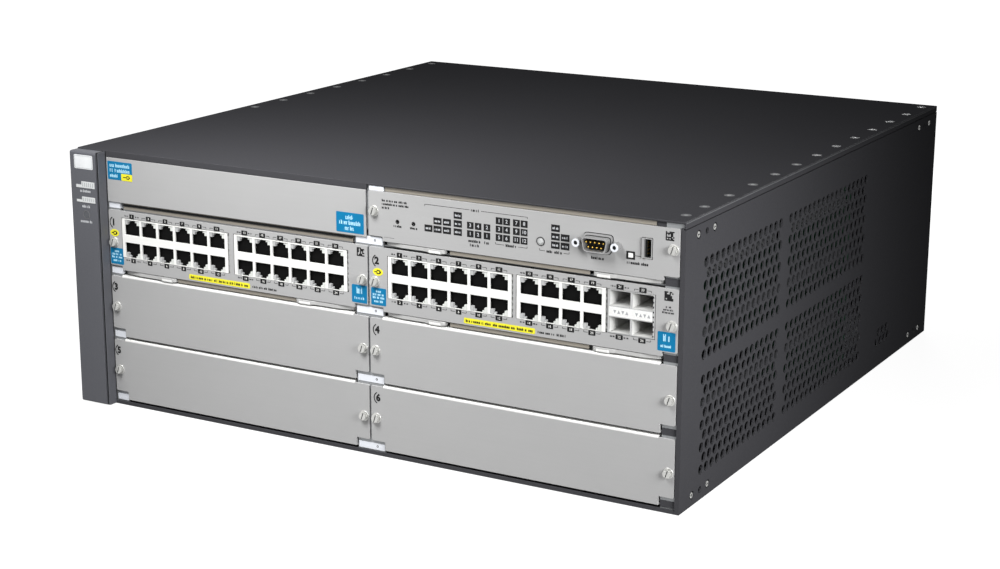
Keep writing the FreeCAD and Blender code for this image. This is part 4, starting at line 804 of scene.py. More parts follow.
def lever(module, hand, column):
    """Ejector lever: a flat bright bar round its pivot, with a thumb at the inner end."""
    node = "%s_lever_%s" % (module, hand)
    z_low, z_high = (corner[2] for corner in node_box(node))
    sign = 1 if hand == "left" else -1
    end = column[0] if hand == "left" else column[1]
    pivot_x, pivot_y = end + sign * 15.0, FRONT + 6.0

    def at(offset, y):
        return (end + sign * offset, y)

    hub = [(pivot_x + 4.4 * math.cos(a) * sign, pivot_y + 4.4 * math.sin(a))
           for a in (math.radians(d) for d in range(230, 69, -16))]
    thumb_y = FRONT - 0.75
    outline = hub + [at(20.5, FRONT + 5.0), at(53.0, FRONT + 5.0)]
    outline += [at(53.0 + 2.0 * math.sin(a), FRONT + 3.0 + 2.0 * math.cos(a))
                for a in (math.radians(d) for d in (30, 60, 90))]
    outline += [at(52.6 + 2.4 * math.cos(a), thumb_y + 2.4 - 2.4 * math.sin(a))
                for a in (math.radians(d) for d in (0, 30, 60, 90))]
    outline += [at(44.5, thumb_y), at(42.0, thumb_y + 0.35), at(39.8, FRONT + 0.3),
                at(24.0, FRONT + 0.3)]
    bar = Shape()
    bar.prism(outline, z_low + 0.05, z_high - 0.05, "Z")
    build("%s_ejector_%s" % (module, hand), bar, [LEVER], node, 0.4, [node],
          segments=3)
    grip = Shape()
    x0, x1 = sorted((end + sign * 43.5, end + sign * 52.5))
    grip.box(x0, x1, thumb_y - 0.03, thumb_y + 3.2, z_low - 0.5, z_high - 0.5)
    build("%s_thumb_%s" % (module, hand), grip, [WHITE_PAINT], node, 0.6, (),
          segments=3)
    pivot = Shape()
    pivot.cylinder((pivot_x, pivot_y), 2.3, z_high - 0.1, z_high + 0.25, "Z", 20)
    build("%s_pivot_%s" % (module, hand), pivot, [NICKEL], node, 0.0, ())


def captive_screw(shape, x, z):
    """Captive thumb screw: a collar, a fluted barrel and a head split by a slot."""
    shape.cylinder((x, z), 3.4, FRONT - 0.4, FRONT + 0.4, "Y", 28, 0, 0.3)
    flutes = 30
    outline = []
    for k in range(flutes * 2):
        a = math.pi * k / flutes
        radius = 2.75 if k % 2 else 2.5
        outline.append((x + radius * math.cos(a), z + radius * math.sin(a)))
    shape.prism(outline, FRONT - 2.0, FRONT - 0.6)
    # the disc under the split head is dark grey, painted shade at the foot of the slot
    shape.cylinder((x, z), 2.3, FRONT - 2.05, FRONT - 1.8, "Y", 24, 1)
    rim, half_slot, turn = 2.45, 0.33, math.radians(72)
    limit = math.asin(half_slot / rim)
    for side in (0, math.pi):
        arc = [turn + side + limit + (math.pi - 2 * limit) * k / 12 for k in range(13)]
        shape.prism([(x + rim * math.cos(a), z + rim * math.sin(a)) for a in arc],
                    FRONT - 2.7, FRONT - 2.0)


def screws(name, places, body, node):
    """The captive screws of one module or of the covers."""
    heads = Shape()
    for x, z in places:
        captive_screw(heads, x, z)
    build(name, heads, [NICKEL, MID_GREY], body, 0.12, [node])


# ------------------------------------------------------------------ printed marks
def film(shape, outline, mark, layers=1, behind=0.01):
    """A flat printed outline on the fronts; more layers stand a little prouder."""
    shape.prism(outline, FRONT - layers * PRINT, FRONT + behind, "Y", mark)


def ringed_number(shape, text, x, z):
    """A slot's number with a thin arc on its left."""
    number(shape, text, x, z, 6.2, FRONT, 0, 0.05)
    outer, inner, steps = 4.25, 3.55, 14
    arc = [math.radians(118 + 124 * k / steps) for k in range(steps + 1)]
    middle = x + 0.9
    film(shape, [(middle + outer * math.cos(a), z + outer * math.sin(a)) for a in arc]
         + [(middle + inner * math.cos(a), z + inner * math.sin(a)) for a in reversed(arc)], 0)


def arrow_tag(shape, x, z, wide, high, mark=3):
    """A yellow oval with a dark arrow to the right: a thin tail and an outlined head."""
    film(shape, [(x + wide / 2 * math.cos(a), z + high / 2 * math.sin(a))
                 for a in (2 * math.pi * k / 28 for k in range(28))], mark, 2)
    tail, point, half = x - wide * 0.34, x + wide * 0.34, high * 0.27
    neck, thin = point - 2.6 * half, 0.22 * half
    film(shape, [(tail, z - thin), (neck, z - thin), (neck, z - half), (point - half, z - half),
                 (point, z), (point - half, z + half), (neck, z + half), (neck, z + thin),
                 (tail, z + thin)], 0, 3.6)
    shape.box(neck + 0.4 * half, point - 1.1 * half, FRONT - 4.4 * PRINT, FRONT,
              z - 0.5 * half, z + 0.5 * half, mark)


def label_field(shape, x0, x1, z0, z1, mark, bar_mark, lines):
    """A coloured label with round corners; lines are (height, z, words, inset)."""
    film(shape, rounded(x0, z0, x1, z1, 0.7), mark, 2)
    for height, z, words, inset in lines:
        text_bars(shape, x0 + inset, x1 - inset, z, height, words, bar_mark, 0.8,
                  lift=3 * PRINT)


def block_code(shape, x, z, size):
    """A small square of dark and bare cells."""
    cells = 7
    step = size / cells
    for i in range(cells):
        for k in range(cells):
            if i == 0 or k == 0 or random.random() < 0.66:
                x0 = x - size / 2 + i * step
                z0 = z - size / 2 + k * step
                patch(shape, x0, x0 + step, z0, z0 + step)


def port_number(shape, port, x, z, down, with_caption):
    """A port's number in a dark tablet, between its two light marks."""
    wide = 3.9 if port < 10 else 4.7
    film(shape, rounded(x - wide / 2, z - 1.5, x + wide / 2, z + 1.5, 0.5), 0)
    number(shape, port, x, z, 2.1, FRONT - PRINT, 1)
    drop = -1.0 if down else 1.0
    for side in (-1, 1):
        if with_caption:
            inner, outer = sorted((x + side * 2.9, x + side * 6.0))
            text_bars(shape, inner, outer, z + 0.1, 0.75, [1, 0.8], 0, 0.35)
        else:
            tip = x + side * 5.4
            patch(shape, *sorted((x + side * (wide / 2 + 0.5), tip)), z - 0.15, z + 0.15)
            patch(shape, tip - 0.15, tip + 0.15, *sorted((z, z + drop)))


def port_numbers(name, module, centres, first_port):
    """The numbers above and below a bank of ports; the first pair carries captions."""
    marks = Shape()
    for k, x in enumerate(centres):
        port = first_port + 2 * k
        port_number(marks, port, x, 132.6, True, k == 0)
        port_number(marks, port + 1, x, 102.4, False, k == 0)
    build_print(name, marks, [INK, WHITE_INK], module)


# ------------------------------------------------------------------ network sockets
JACK_PITCH = 14.02
JACK_WIDE = 12.3
JACK_HIGH = 10.2
JACK_DEEP = 13.0
UPPER_SILL = 119.7             # floor of the upper sockets
LOWER_HEAD = 114.6             # ceiling of the lower ones, which stand upside down
SHOULDERS = ((3.8, 6.15, 6.9, 0.3), (2.3, 3.8, 8.7, 0.5))    # near, far, foot, depth


def jack_shield(name, module, box, centres):
    """The bright shield of a socket bank, with an opening for each socket."""
    (x0, y0, z0), (x1, y1, z1) = box
    half = JACK_WIDE / 2
    holes = [rect(x - half, low, x + half, low + JACK_HIGH) for x in centres
             for low in (UPPER_SILL, LOWER_HEAD - JACK_HIGH)]
    shield = Shape()
    shield.prism(rect(x0 + 0.15, z0 - 0.35, x1 - 0.15, z1 + 0.1), y0, y0 + SHEET, "Y", 0, holes)
    for edge in (x0 + 0.15, x1 - 0.55):
        shield.box(edge, edge + 0.4, y0 + 1.0, y1, z0, z1)
    shield.box(x0 + 0.3, x1 - 0.3, y0 + SHEET, y1, z1 - 0.5, z1)
    build(name + "_shield", shield, [SHIELD], module, 0.14, [name])


def socket_inside(inside, x, y0, sill, up):
    """What shows in one socket; heights run from its sill, upwards or downwards."""
    def span(low, high):
        return sorted((sill + up * low, sill + up * high))

    for side in (-1, 1):
        # shoulders that leave the latch channel between them, in two steps, with windows
        for near, far, foot, depth in SHOULDERS:
            a, b = sorted((x + side * near, x + side * far))
            low, high = span(foot, JACK_HIGH)
            inside.box(a + 0.12, b - 0.12, y0 + depth, y0 + 3.0, low + 0.2, high - 0.25,
                       1 if side > 0 else 3)
            inside.box(a, b, y0 + 3.0, y0 + JACK_DEEP, low, high)
    inside.box(x - 4.6, x + 4.6, y0 + 8.6, y0 + JACK_DEEP, *span(0.4, 2.0))
    # the contacts are gold darkened to olive, painted shade inside the socket
    for k in range(8):
        a, b = x + (k - 3.5) * 1.02 - 0.22, x + (k - 3.5) * 1.02 + 0.22
        inside.box(a, b, y0 + 5.2, y0 + 12.8, *span(2.0, 2.2), 2)
        inside.box(a, b, y0 + 5.0, y0 + 5.3, *span(0.35, 2.1), 2)


def jack_insides(name, module, box, centres):
    """A bank's dark housing, with what shows in each socket and the slit round it."""
    (x0, y0, z0), (x1, _, z1) = box
    inside = Shape()
    left, right, rear = x0 + 0.5, x1 - 0.5, y0 + JACK_DEEP
    inside.box(left, right, rear, rear + 1.0, z0, z1 - 0.6)
    for low, high in ((LOWER_HEAD + 0.1, UPPER_SILL - 0.1), (z0 - 0.3, LOWER_HEAD - JACK_HIGH),
                      (UPPER_SILL + JACK_HIGH - 0.05, z1 - 0.55)):
        inside.box(left, right, y0 + SHEET, rear, low, high)
    for x in [c - JACK_PITCH / 2 for c in centres] + [centres[-1] + JACK_PITCH / 2]:
        inside.box(max(left, x - 0.85), min(right, x + 0.85), y0 + SHEET, rear, z0, z1 - 0.6)
    for x in centres:
        for sill, up in ((UPPER_SILL, 1), (LOWER_HEAD, -1)):
            socket_inside(inside, x, y0, sill, up)
    # the slit round the housing is a near-black plate behind the window, painted shade, with the
    # shield's spring tabs on its right
    inside.box(x0 - 0.9, x1 + 1.2, y0 + 2.4, y0 + 2.8, z0 - 0.8, z1 + 0.7)
    for k in range(7):
        z = z0 + 2.4 + k * (z1 - z0 - 4.8) / 6
        inside.box(x1 + 0.25, x1 + 0.75, y0 + 0.5, y0 + 2.4, z - 0.7, z + 0.7, 3)
    build(name + "_insides", inside, [CAVITY, SMOKED, GOLD_IN_PAINTED_SHADE, DIM_WINDOW], module, 0.0, ())


def jack_bank(name, module, columns, first_port):
    """A ganged two-row socket block.  Gives the window that it needs in the faceplate."""
    box = (x0, _, z0), (x1, _, z1) = node_box(name)
    centres = [x0 + 8.6 + k * JACK_PITCH for k in range(columns)]
    jack_shield(name, module, box, centres)
    jack_insides(name, module, box, centres)
    port_numbers(name + "_numbers", module, centres, first_port)
    return rect(x0 - 0.4, z0 - 0.6, x1 + 0.95, z1 + 0.5)


def transceiver_cage(module):
    """Two by two cages of thin steel with spring fingers, a divider band and its marks.
    Gives the window that it needs in the faceplate."""
    (x0, y0, z0), (x1, _, z1) = node_box("transceiver_cage")
    wide, high, wall, deep = 13.5, 9.4, 0.5, y0 + 46.0
    face = y0 + 0.8
    floors = (z0 + 0.3, z1 - 0.3 - high)
    corners = [(x, z) for x in (x0 + 1.0, x0 + 15.5) for z in floors]
    steel = Shape()
    steel.prism(rect(x0, z0, x1, z1), y0, face, "Y", 0,
                [rect(x, z, x + wide, z + high) for x, z in corners])
    # the inner walls and tabs are a paler copy of the cage steel, painted light that shows the
    # deep cages lit
    for x, z in corners:
        for a, b in ((x - wall, x), (x + wide, x + wide + wall)):
            steel.box(a, b, face, deep, z - wall, z + high + wall, 4)
        for a, b in ((z - wall, z), (z + high, z + high + wall)):
            steel.box(x, x + wide, face, deep, a, b, 4)
        steel.box(x, x + wide, deep - 1.0, deep, z, z + high, 2)
        steel.box(x + 2.0, x + wide - 2.0, deep - 8.0, deep - 1.0, z + 2.6, z + 5.8, 2)
        steel.prism([(y0 + 8.0, z + 0.02), (y0 + 20.0, z + 0.9), (y0 + 20.0, z + 0.02)],
                    x + 5.6, x + 7.9, "X", 4)
    # black dashes down the cage's right edge, painted shade for the slots between its spring
    # fingers
    for k in range(9):
        z = z0 + 1.4 + k * (z1 - z0 - 2.8) / 8
        steel.box(x1 - 1.15, x1 - 0.45, y0 - 0.05, y0 + 0.1, z - 0.55, z + 0.55, 2)
    band_low, band_high = floors[0] + high + wall, floors[1] - wall
    steel.box(x0 + 0.9, x1 - 1.5, y0 - 0.12, y0 + 0.6, band_low, band_high, 1)
    middle = (band_low + band_high) / 2
    for group in (x0 + 4.6, x0 + 18.6):
        for k in range(4):
            x, up = group + k * 2.6, 1 if k % 2 else -1
            steel.prism([(x - 0.95, middle - up * 1.0), (x + 0.95, middle - up * 1.0),
                         (x, middle + up * 1.1)], y0 - 0.17, y0, "Y", 3)
    build("cage_block", steel, [CAGE, WHITE_PAINT, BLACK, MID_INK, CAGE_INSIDE_LIT], module, 0.0,
          ["transceiver_cage"])
    port_numbers("cage_numbers", module, (x0 + 7.6, x0 + 22.2), 21)
    return rect(x0 - 0.4, z0 - 0.5, x1 + 0.4, z1 + 0.4)


# ------------------------------------------------------------------ port modules
# where each module's marks start, from its left end, or from its right end for the last two
PORT_MARKS = {1: {"number": 4.2, "arrow": 4.8, "label": 0.6, "strip": 66.2,
                  "tag": 12.0, "code": 5.1},
              2: {"number": 5.8, "arrow": 6.6, "label": 1.4, "strip": 68.2,
                  "tag": 12.9, "code": 6.4}}


def port_module_marks(index, module, left, right):
    """The marks printed on a port module: number, arrow, labels, captions and code."""
    marks = Shape()
    at = PORT_MARKS[index]
    ringed_number(marks, index, left + at["number"], 127.0)
    arrow_tag(marks, left + at["arrow"], 120.0, 7.4, 4.8)
    x = left + at["label"]
    label_field(marks, x, x + 11.0, 98.7, 109.8, 2, 1,
                [(1.1, 107.6, [1], 3.6), (1.1, 105.6, [1, 0.8, 0.7], 1.2),
                 (1.1, 103.6, [0.7, 0.5, 0.9], 1.2), (1.1, 101.2, [1.1, 0.8], 2.2)])
    x = right - at["tag"]
    label_field(marks, x, x + 11.3, 98.4, 109.9, 2, 1,
                [(3.0, 106.4, [1, 0.4], 3.6), (1.2, 101.4, [1], 2.0)])
    x = left + at["strip"]
    label_field(marks, x, x + 49.1, 96.1, 99.6, 3, 0,
                [(1.15, 97.85, [2, 4, 1, 3, 2, 5, 2, 3, 1, 2], 1.4)])
    text_bars(marks, x + 50.9, x + 70.1, 97.85, 1.1, [2, 1.4, 1.2, 3])
    block_code(marks, right - at["code"], 131.2, 5.6)
    if index == 2:
        for z, words, inset in ((124.8, [1, 1.4], 2.4), (123.1, [2], 0.8), (121.4, [2.4], 0.2)):
            text_bars(marks, right - 10.6 + inset, right - 2.4 - inset, z, 0.8, words)
    build_print(module + "_marks", marks, [INK, LABEL_INK, BLUE, YELLOW], module)


def port_module(index):
    """One port module: plate, sockets, levers, screws and printed marks."""
    module = "port_module_%d" % index
    column = LEFT_COLUMN if index == 1 else RIGHT_COLUMN
    left, right = column
    floor = slot_floor(2)
    banks = (("jack_bank_1a", 6, 1), ("jack_bank_1b", 6, 13)) if index == 1 else (
        ("jack_bank_2a", 6, 1), ("jack_bank_2b", 4, 13))
    windows = [jack_bank(bank, module, columns, first) for bank, columns, first in banks]
    if index == 2:
        windows.append(transceiver_cage(module))
    module_plate(module, column, floor + MODULE_RISE, floor + FRONT_SPAN, windows,
                 module + "_faceplate")
    for hand in ("left", "right"):
        lever(module, hand, column)
    screws(module + "_thumb_screws", [(left + SCREW_IN, floor + SCREW_RISE),
                                      (right - SCREW_IN, floor + SCREW_RISE)],
           module, module + "_screws")
    port_module_marks(index, module, left, right)


# ------------------------------------------------------------------ management module
MANAGEMENT = "management_module"
MANAGEMENT_LOW, MANAGEMENT_HIGH = 139.95, 171.0
MANAGEMENT_SCREW_Z = 158.5
TILE_ROWS = (152.1, 157.2, 162.3)
PIN_BUTTONS = ((30.0, 153.4), (41.5, 153.4))      # reset and clear
MODE_CENTRE = (129.3, 153.3)
CONSOLE = (167.3, 156.6)
USB_WINDOW = (194.4, 151.2, 201.8, 163.8)
LAMP_RIM = (185.3, 149.9, 190.7, 154.6)
LAMP_WINDOW = (186.5, 150.9, 189.6, 153.6)
# captions of the panel: x from and to, middle height, letter height, gap, words
CAPTIONS = ((80.2, 88.6, 147.8, 1.2, 0.9, [1]), (81.2, 87.6, 145.3, 1.2, 0.9, [1]),
            (91.2, 95.0, 147.8, 1.2, 0.9, [1]), (18.8, 36.8, 165.8, 1.05, 0.8, [1, 2, 1, 2.4]),
            (18.8, 38.6, 163.6, 1.05, 0.8, [3.2, 2.2]), (18.8, 24.2, 161.3, 1.05, 0.8, [1]),
            (27.2, 33.0, 150.7, 1.1, 0.9, [1]), (39.0, 44.4, 150.7, 1.1, 0.9, [1]),
            (162.6, 171.0, 147.9, 1.2, 0.9, [1]), (185.6, 199.4, 147.9, 1.2, 0.9, [1.8, 1]))


def tile(shape, x, z, wide, text=None):
    """A dark status tablet, with a number or a small caption in it."""
    patch(shape, x - wide / 2, x + wide / 2, z - 2.1, z + 2.1)
    if text is None:
        text_bars(shape, x - wide * 0.34, x + wide * 0.34, z, 1.0, [1, 0.8], 1, 0.3,
                  lift=2 * PRINT)
    else:
        number(shape, text, x, z, 3.0, FRONT - PRINT, 1, 0.02)


def captioned_rule(shape, x0, x1, z, turn, caption, words):
    """A rule with turned ends, broken by a caption."""
    middle, half, thin = (x0 + x1) / 2, caption / 2, 0.13
    patch(shape, x0, middle - half - 1.0, z - thin, z + thin)
    patch(shape, middle + half + 1.0, x1, z - thin, z + thin)
    for x in (x0, x1):
        patch(shape, x - thin, x + thin, *sorted((z, z + turn)))
    text_bars(shape, middle - half, middle + half, z, 1.2, words)


def status_marks():
    """The status tablets with their captions and rules."""
    marks = Shape()
    low, middle, high = TILE_ROWS
    tile(marks, 52.2, low, 5.6)
    for x, rows in ((58.6, 2), (65.2, 2), (72.8, 3)):
        for z in TILE_ROWS[:rows]:
            tile(marks, x, z, 5.7)
    for x, below, above in ((81.5, 1, 3), (86.9, 2, 4), (93.0, 1, 2)):
        tile(marks, x, low, 4.5, below)
        tile(marks, x, middle, 4.5, above)
    count = 0
    for columns in ((101.3, 106.4), (113.0, 118.2)):
        for z in (high, middle, low):
            for x in columns:
                count += 1
                tile(marks, x, z, 4.6, count)
    for x, rows in ((139.1, 3), (145.5, 2)):
        for z in TILE_ROWS[:rows]:
            tile(marks, x, z, 5.7)
    captioned_rule(marks, 49.6, 120.3, 166.7, -1.1, 6.0, [1])
    captioned_rule(marks, 98.8, 120.3, 148.0, 1.1, 7.6, [1])
    captioned_rule(marks, 128.7, 148.2, 147.9, 1.1, 10.4, [1, 1.2])
    for x0, x1, z, height, gap, words in CAPTIONS:
        text_bars(marks, x0, x1, z, height, words, 0, gap)
    patch(marks, 190.9, 194.4, 152.1, 152.4)
    patch(marks, 20.0, 27.5, 142.6, 142.75)
    block_code(marks, 212.4, 166.4, 5.4)
    build_print("management_marks", marks, [INK, PALE_INK], MANAGEMENT, ["status_display"])


def d_outline(wide, high, slant, corner):
    """The console connector's D outline, wide side up."""
    x, z = CONSOLE
    half_w, half_h = wide / 2, high / 2
    corners = [Vector(c) for c in ((half_w, half_h), (-half_w, half_h),
                                   (-half_w + slant, -half_h), (half_w - slant, -half_h))]
    points = []
    for i, here in enumerate(corners):
        start = here + (corners[i - 1] - here).normalized() * corner
        end = here + (corners[(i + 1) % 4] - here).normalized() * corner
        for k in range(5):
            t = k / 4
            point = start * (1 - t) ** 2 + here * 2 * t * (1 - t) + end * t ** 2
            points.append((x + point.x, z + point.y))
    return points


def console_connector():
    """Nine-pin console connector: a D shell on a flange, gold pins, and jackscrews."""
    x, z = CONSOLE
    shell = Shape()
    # flange, shroud, and black outlines round both, painted shade for the gaps round them
    for outer, inner, near, far, mark in (
            ((19.4, 11.6, 1.6, 3.0), (15.2, 7.0, 1.4, 1.8), 0.9, 0.3, 0),
            ((16.9, 8.5, 1.6, 2.4), (15.7, 7.3, 1.5, 2.0), 6.0, 2.0, 0),
            ((20.1, 12.3, 1.6, 3.1), (18.0, 10.0, 1.6, 2.6), 0.12, 0.3, 1),
            ((17.7, 9.3, 1.6, 2.6), (15.4, 7.1, 1.5, 1.9), 1.0, -0.5, 1)):
        shell.prism(d_outline(*outer), FRONT - near, FRONT + far, "Y", mark,
                    [d_outline(*inner)])
    build("console_shell", shell, [SHELL, BLACK], MANAGEMENT, 0.1, ["console_port"])
    inside = Shape()
    inside.prism(d_outline(16.0, 7.6, 1.5, 2.0), FRONT - 1.2, FRONT + 1.0)
    for row_z, count in ((z + 1.42, 5), (z - 1.42, 4)):
        for k in range(count):
            inside.cylinder((x + 2.77 * (k - (count - 1) / 2), row_z), 0.52, FRONT - 5.3, FRONT,
                            "Y", 12, 1, 0.3)
    build("console_pins", inside, [BLACK, GOLD], MANAGEMENT, 0.0, ())
    posts = Shape()
    for middle in ((x - 12.5, z), (x + 12.5, z)):
        posts.prism(circle(middle, 2.75, 6, math.pi / 6), FRONT - 4.6, FRONT + 0.2)
        posts.tube(middle, 2.45, 1.3, FRONT - 5.3, FRONT - 4.5, 24, 2)
        # a black disc inside each post's ring, painted shade for its threaded hole
        posts.cylinder(middle, 1.35, FRONT - 4.7, FRONT - 4.5, "Y", 16, 1)
    build("console_posts", posts, [SHELL, BLACK, BLOCK_WHITE], MANAGEMENT, 0.12,
          ["console_jackscrews"])


def usb_socket():
    """Upright auxiliary socket: a rolled shell, its springs and the tongue inside."""
    (x0, y0, z0), (x1, y1, z1) = node_box("usb_port")
    shell = Shape()
    shell.prism(rounded(x0, z0, x1, z1, 0.6, 3), y0 - 0.35, y1, "Y", 0,
                [rect(x0 + 0.55, z0 + 0.55, x1 - 0.55, z1 - 0.55)])
    shell.box(x0 + 0.1, x0 + 1.7, y0 - 1.0, y0 + 2.0, z0 + 0.1, z1 - 0.1)
    for z in (z0 + 3.2, z1 - 3.2):
        shell.box(x1 - 0.95, x1 - 0.5, y0 + 1.2, y0 + 6.5, z - 1.1, z + 1.1)
    build("usb_shell", shell, [SHELL], MANAGEMENT, 0.12, ["usb_port"])
    inside = Shape()
    inside.box(x0 + 0.5, x1 - 0.5, y0 + 12.0, y0 + 13.0, z0 + 0.5, z1 - 0.5)
    inside.box(x0 + 1.0, x0 + 2.9, y0 + 0.8, y0 + 12.0, z0 + 0.9, z1 - 0.9)
    inside.box(x0 + 0.5, x1 - 0.5, y0 + 4.0, y0 + 5.0, z0 + 0.6, z1 - 0.6)
    for k in range(4):
        z = z0 + 2.6 + k * 2.25
        inside.box(x0 + 2.9, x0 + 3.1, y0 + 1.6, y0 + 11.0, z - 0.5, z + 0.5, 1)
    build("usb_insides", inside, [BLACK, GOLD], MANAGEMENT, 0.0, ())
    lamp = Shape()
    lamp.prism(rect(*LAMP_RIM), FRONT - 0.25, FRONT + 0.1, "Y", 0, [rect(*LAMP_WINDOW)])
    x0, z0, x1, z1 = LAMP_WINDOW
    lamp.box(x0, x1, FRONT - 0.12, FRONT + 0.1, z0, z1, 1)
    build("auxiliary_lamp", lamp, [INK, WHITE_INK], MANAGEMENT, 0.08, ())


def management_buttons():
    """The mode button in its collar and the two recessed pin buttons."""
    for node, radius, finish in (("mode_button", 1.75, BUTTON_GREY),
                                 ("reset_button", 0.85, BLACK), ("clear_button", 0.85, BLACK)):
        (x0, y0, z0), (x1, y1, z1) = node_box(node)
        middle = ((x0 + x1) / 2, (z0 + z1) / 2)
        cap = Shape()
        cap.cylinder(middle, radius, y0 + 0.05, y1, "Y", 28, 0, min(0.5, radius * 0.5))
        build(node + "_cap", cap, [finish], node, 0.0, [node])
        if node == "mode_button":
            collar = Shape()
            collar.tube(middle, 2.75, 2.25, FRONT - 0.3, FRONT + 0.3, 32, 1)
            collar.tube(middle, 2.25, 1.8, FRONT - 0.38, FRONT + 0.3, 32, 0)
            build("mode_collar", collar, [SILVER, BLACK], MANAGEMENT, 0.12, ())
    rims = Shape()
    for middle in PIN_BUTTONS:
        rims.tube(middle, 1.35, 0.95, FRONT - 0.06, FRONT + 0.1, 24)
    build("pin_button_rims", rims, [INK], MANAGEMENT, 0.0, ())


def management_module():
    """The management module: plate, levers, screws, status tablets, sockets and buttons."""
    left, right = RIGHT_COLUMN
    holes = [circle(middle, 1.2, 20) for middle in PIN_BUTTONS]
    holes += [circle(MODE_CENTRE, 2.45, 28), d_outline(17.4, 9.0, 1.6, 2.4), rect(*USB_WINDOW)]
    module_plate(MANAGEMENT, RIGHT_COLUMN, MANAGEMENT_LOW, MANAGEMENT_HIGH, holes,
                 "management_faceplate")
    for hand in ("left", "right"):
        lever("management", hand, RIGHT_COLUMN)
    screws("management_thumb_screws", [(left + SCREW_IN, MANAGEMENT_SCREW_Z),
                                       (right - SCREW_IN, MANAGEMENT_SCREW_Z)],
           MANAGEMENT, "management_screws")
    status_marks()
    console_connector()
    usb_socket()
    management_buttons()


# ------------------------------------------------------------------ fixed panel and covers
# the covered slots: number, column, row
COVERED = ((3, LEFT_COLUMN, 1), (4, RIGHT_COLUMN, 1), (5, LEFT_COLUMN, 0), (6, RIGHT_COLUMN, 0))


def upper_left_panel():
    """Fixed panel over the left column, with two labels."""
    left, right = LEFT_COLUMN
    low, high = 141.0, 170.9
    panel = Shape()
    panel.box(left + 0.3, right - 0.9, FRONT, FRONT + FACE, low, high)
    panel.box(left + NOTCH, right - NOTCH, FRONT + 0.8, FRONT + 12.0, low, low + SHEET)
    build("upper_panel_front", panel, [SILVER], "chassis", 0.3, ["upper_left_panel"],
          segments=3)
    marks = Shape()
    label_field(marks, -196.9, -176.4, 156.3, 168.6, 2, 1,
                [(1.7, 166.0, [1, 3], 1.8), (1.7, 162.6, [0.8, 3], 1.8)])
    text_bars(marks, -195.1, -187.8, 159.0, 1.5, [1], 1, lift=3 * PRINT)
    film(marks, rounded(-185.6, 156.3, -176.4, 160.9, 0.5), 3, 3, 0.0)
    arrow_tag(marks, -181.0, 158.6, 8.6, 4.3)
    label_field(marks, -15.0, 5.4, 142.4, 155.2, 2, 1,
                [(1.9, 152.2, [1], 7.0), (1.9, 148.8, [0.7, 3.4], 2.2), (1.9, 145.2, [1], 6.4)])
    build_print("panel_labels", marks, [INK, LABEL_INK, BLUE, YELLOW], "chassis")


def slot_numbers():
    """Numbers of the covered slots."""
    marks = Shape()
    for slot, column, row in COVERED:
        ringed_number(marks, slot, column[0] + (3.9 if column == LEFT_COLUMN else 5.6),
                      82.6 if row else 38.2)
    build_print("slot_numbers", marks, [INK], "chassis")


# ------------------------------------------------------------------ status bezel
def bezel_shell():
    """The bezel's moulded shell, with a groove near its right edge that is coloured black as
    painted shade.
    """
    low, high, face = BEZEL_LOW[2], BEZEL_HIGH[2], BEZEL_FACE
    seam, seam_wide = BEZEL_RIGHT - 2.1, 1.6
    outline = [(FRONT, low), (FRONT, high), (face + 1.4, high), (face + 0.4, high - 0.35),
               (face, high - 1.2), (face, low + 1.2), (face + 0.4, low + 0.35),
               (face + 1.4, low)]
    shell = Shape()
    shell.prism(outline, -HALF_W, seam, "X")
    # the groove is coloured black, painted shade
    shell.prism(outline[:3] + outline[-1:], seam, seam + seam_wide, "X", 1)
    shell.prism([(y + 0.5 if y < FRONT else y, z) for y, z in outline], seam + seam_wide,
                BEZEL_RIGHT, "X")
    build("bezel_shell", shell, [BEZEL_COAT, BLACK], "chassis", 0.35, ["led_bezel"],
          segments=3)


def badge_plate():
    """The bare badge plate, with a fine line inside its edge."""
    low, high = node_box("badge_plate")
    x0, x1, z0, z1 = low[0] - 0.9, high[0] + 0.6, low[2], high[2]

    def inset(by, radius):
        return rounded(x0 + by, z0 + by, x1 - by, z1 - by, radius)

    plate = Shape()
    plate.prism(inset(0.0, 0.8), BEZEL_FACE - 0.2, BEZEL_FACE + 0.3)
    plate.prism(inset(0.5, 0.6), BEZEL_FACE - 0.26, BEZEL_FACE, "Y", 1, [inset(0.8, 0.5)])
    build("blank_badge_plate", plate, [WHITE_PLATE, PALE_INK], "chassis", 0.0, ["badge_plate"])


def status_lenses():
    """The two stepped and ribbed lenses of the power and fault lamps."""
    lens = Shape()
    x0, x1, step_in = 4.6 - HALF_W, 20.3 - HALF_W, 4.6
    for middle, tall in ((152.3, 4.3), (142.2, 3.8)):
        z0, z1 = middle - tall / 2, middle + tall / 2
        step = z0 + tall * 0.45
        lens.prism([(x0, z0), (x1, z0), (x1, z1), (x0 + step_in, z1), (x0 + step_in, step),
                    (x0, step)], BEZEL_FACE - 0.28, BEZEL_FACE + 0.4)
        for k in range(6):
            rib = x0 + 5.4 + k * 1.7
            lens.box(rib, rib + 0.6, BEZEL_FACE - 0.36, BEZEL_FACE, z0 + 0.9, z1 - 0.7, 1)
    build("status_lenses_power_fault", lens, [LENS, LENS_RIB], "chassis", 0.0,
          ["status_lenses"])


def locator_lamp():
    """The round locator lamp in its ring."""
    centre = (BEZEL_MIDDLE, 131.9)
    lamp = Shape()
    lamp.tube(centre, 2.9, 2.45, BEZEL_FACE - 0.12, BEZEL_FACE + 0.2, 32)
    lamp.cylinder(centre, 2.4, BEZEL_FACE - 0.1, BEZEL_FACE + 0.2, "Y", 28, 1, 0.2)
    build("locator_lamp", lamp, [MID_GREY, DARK_LENS], "chassis", 0.0, ())


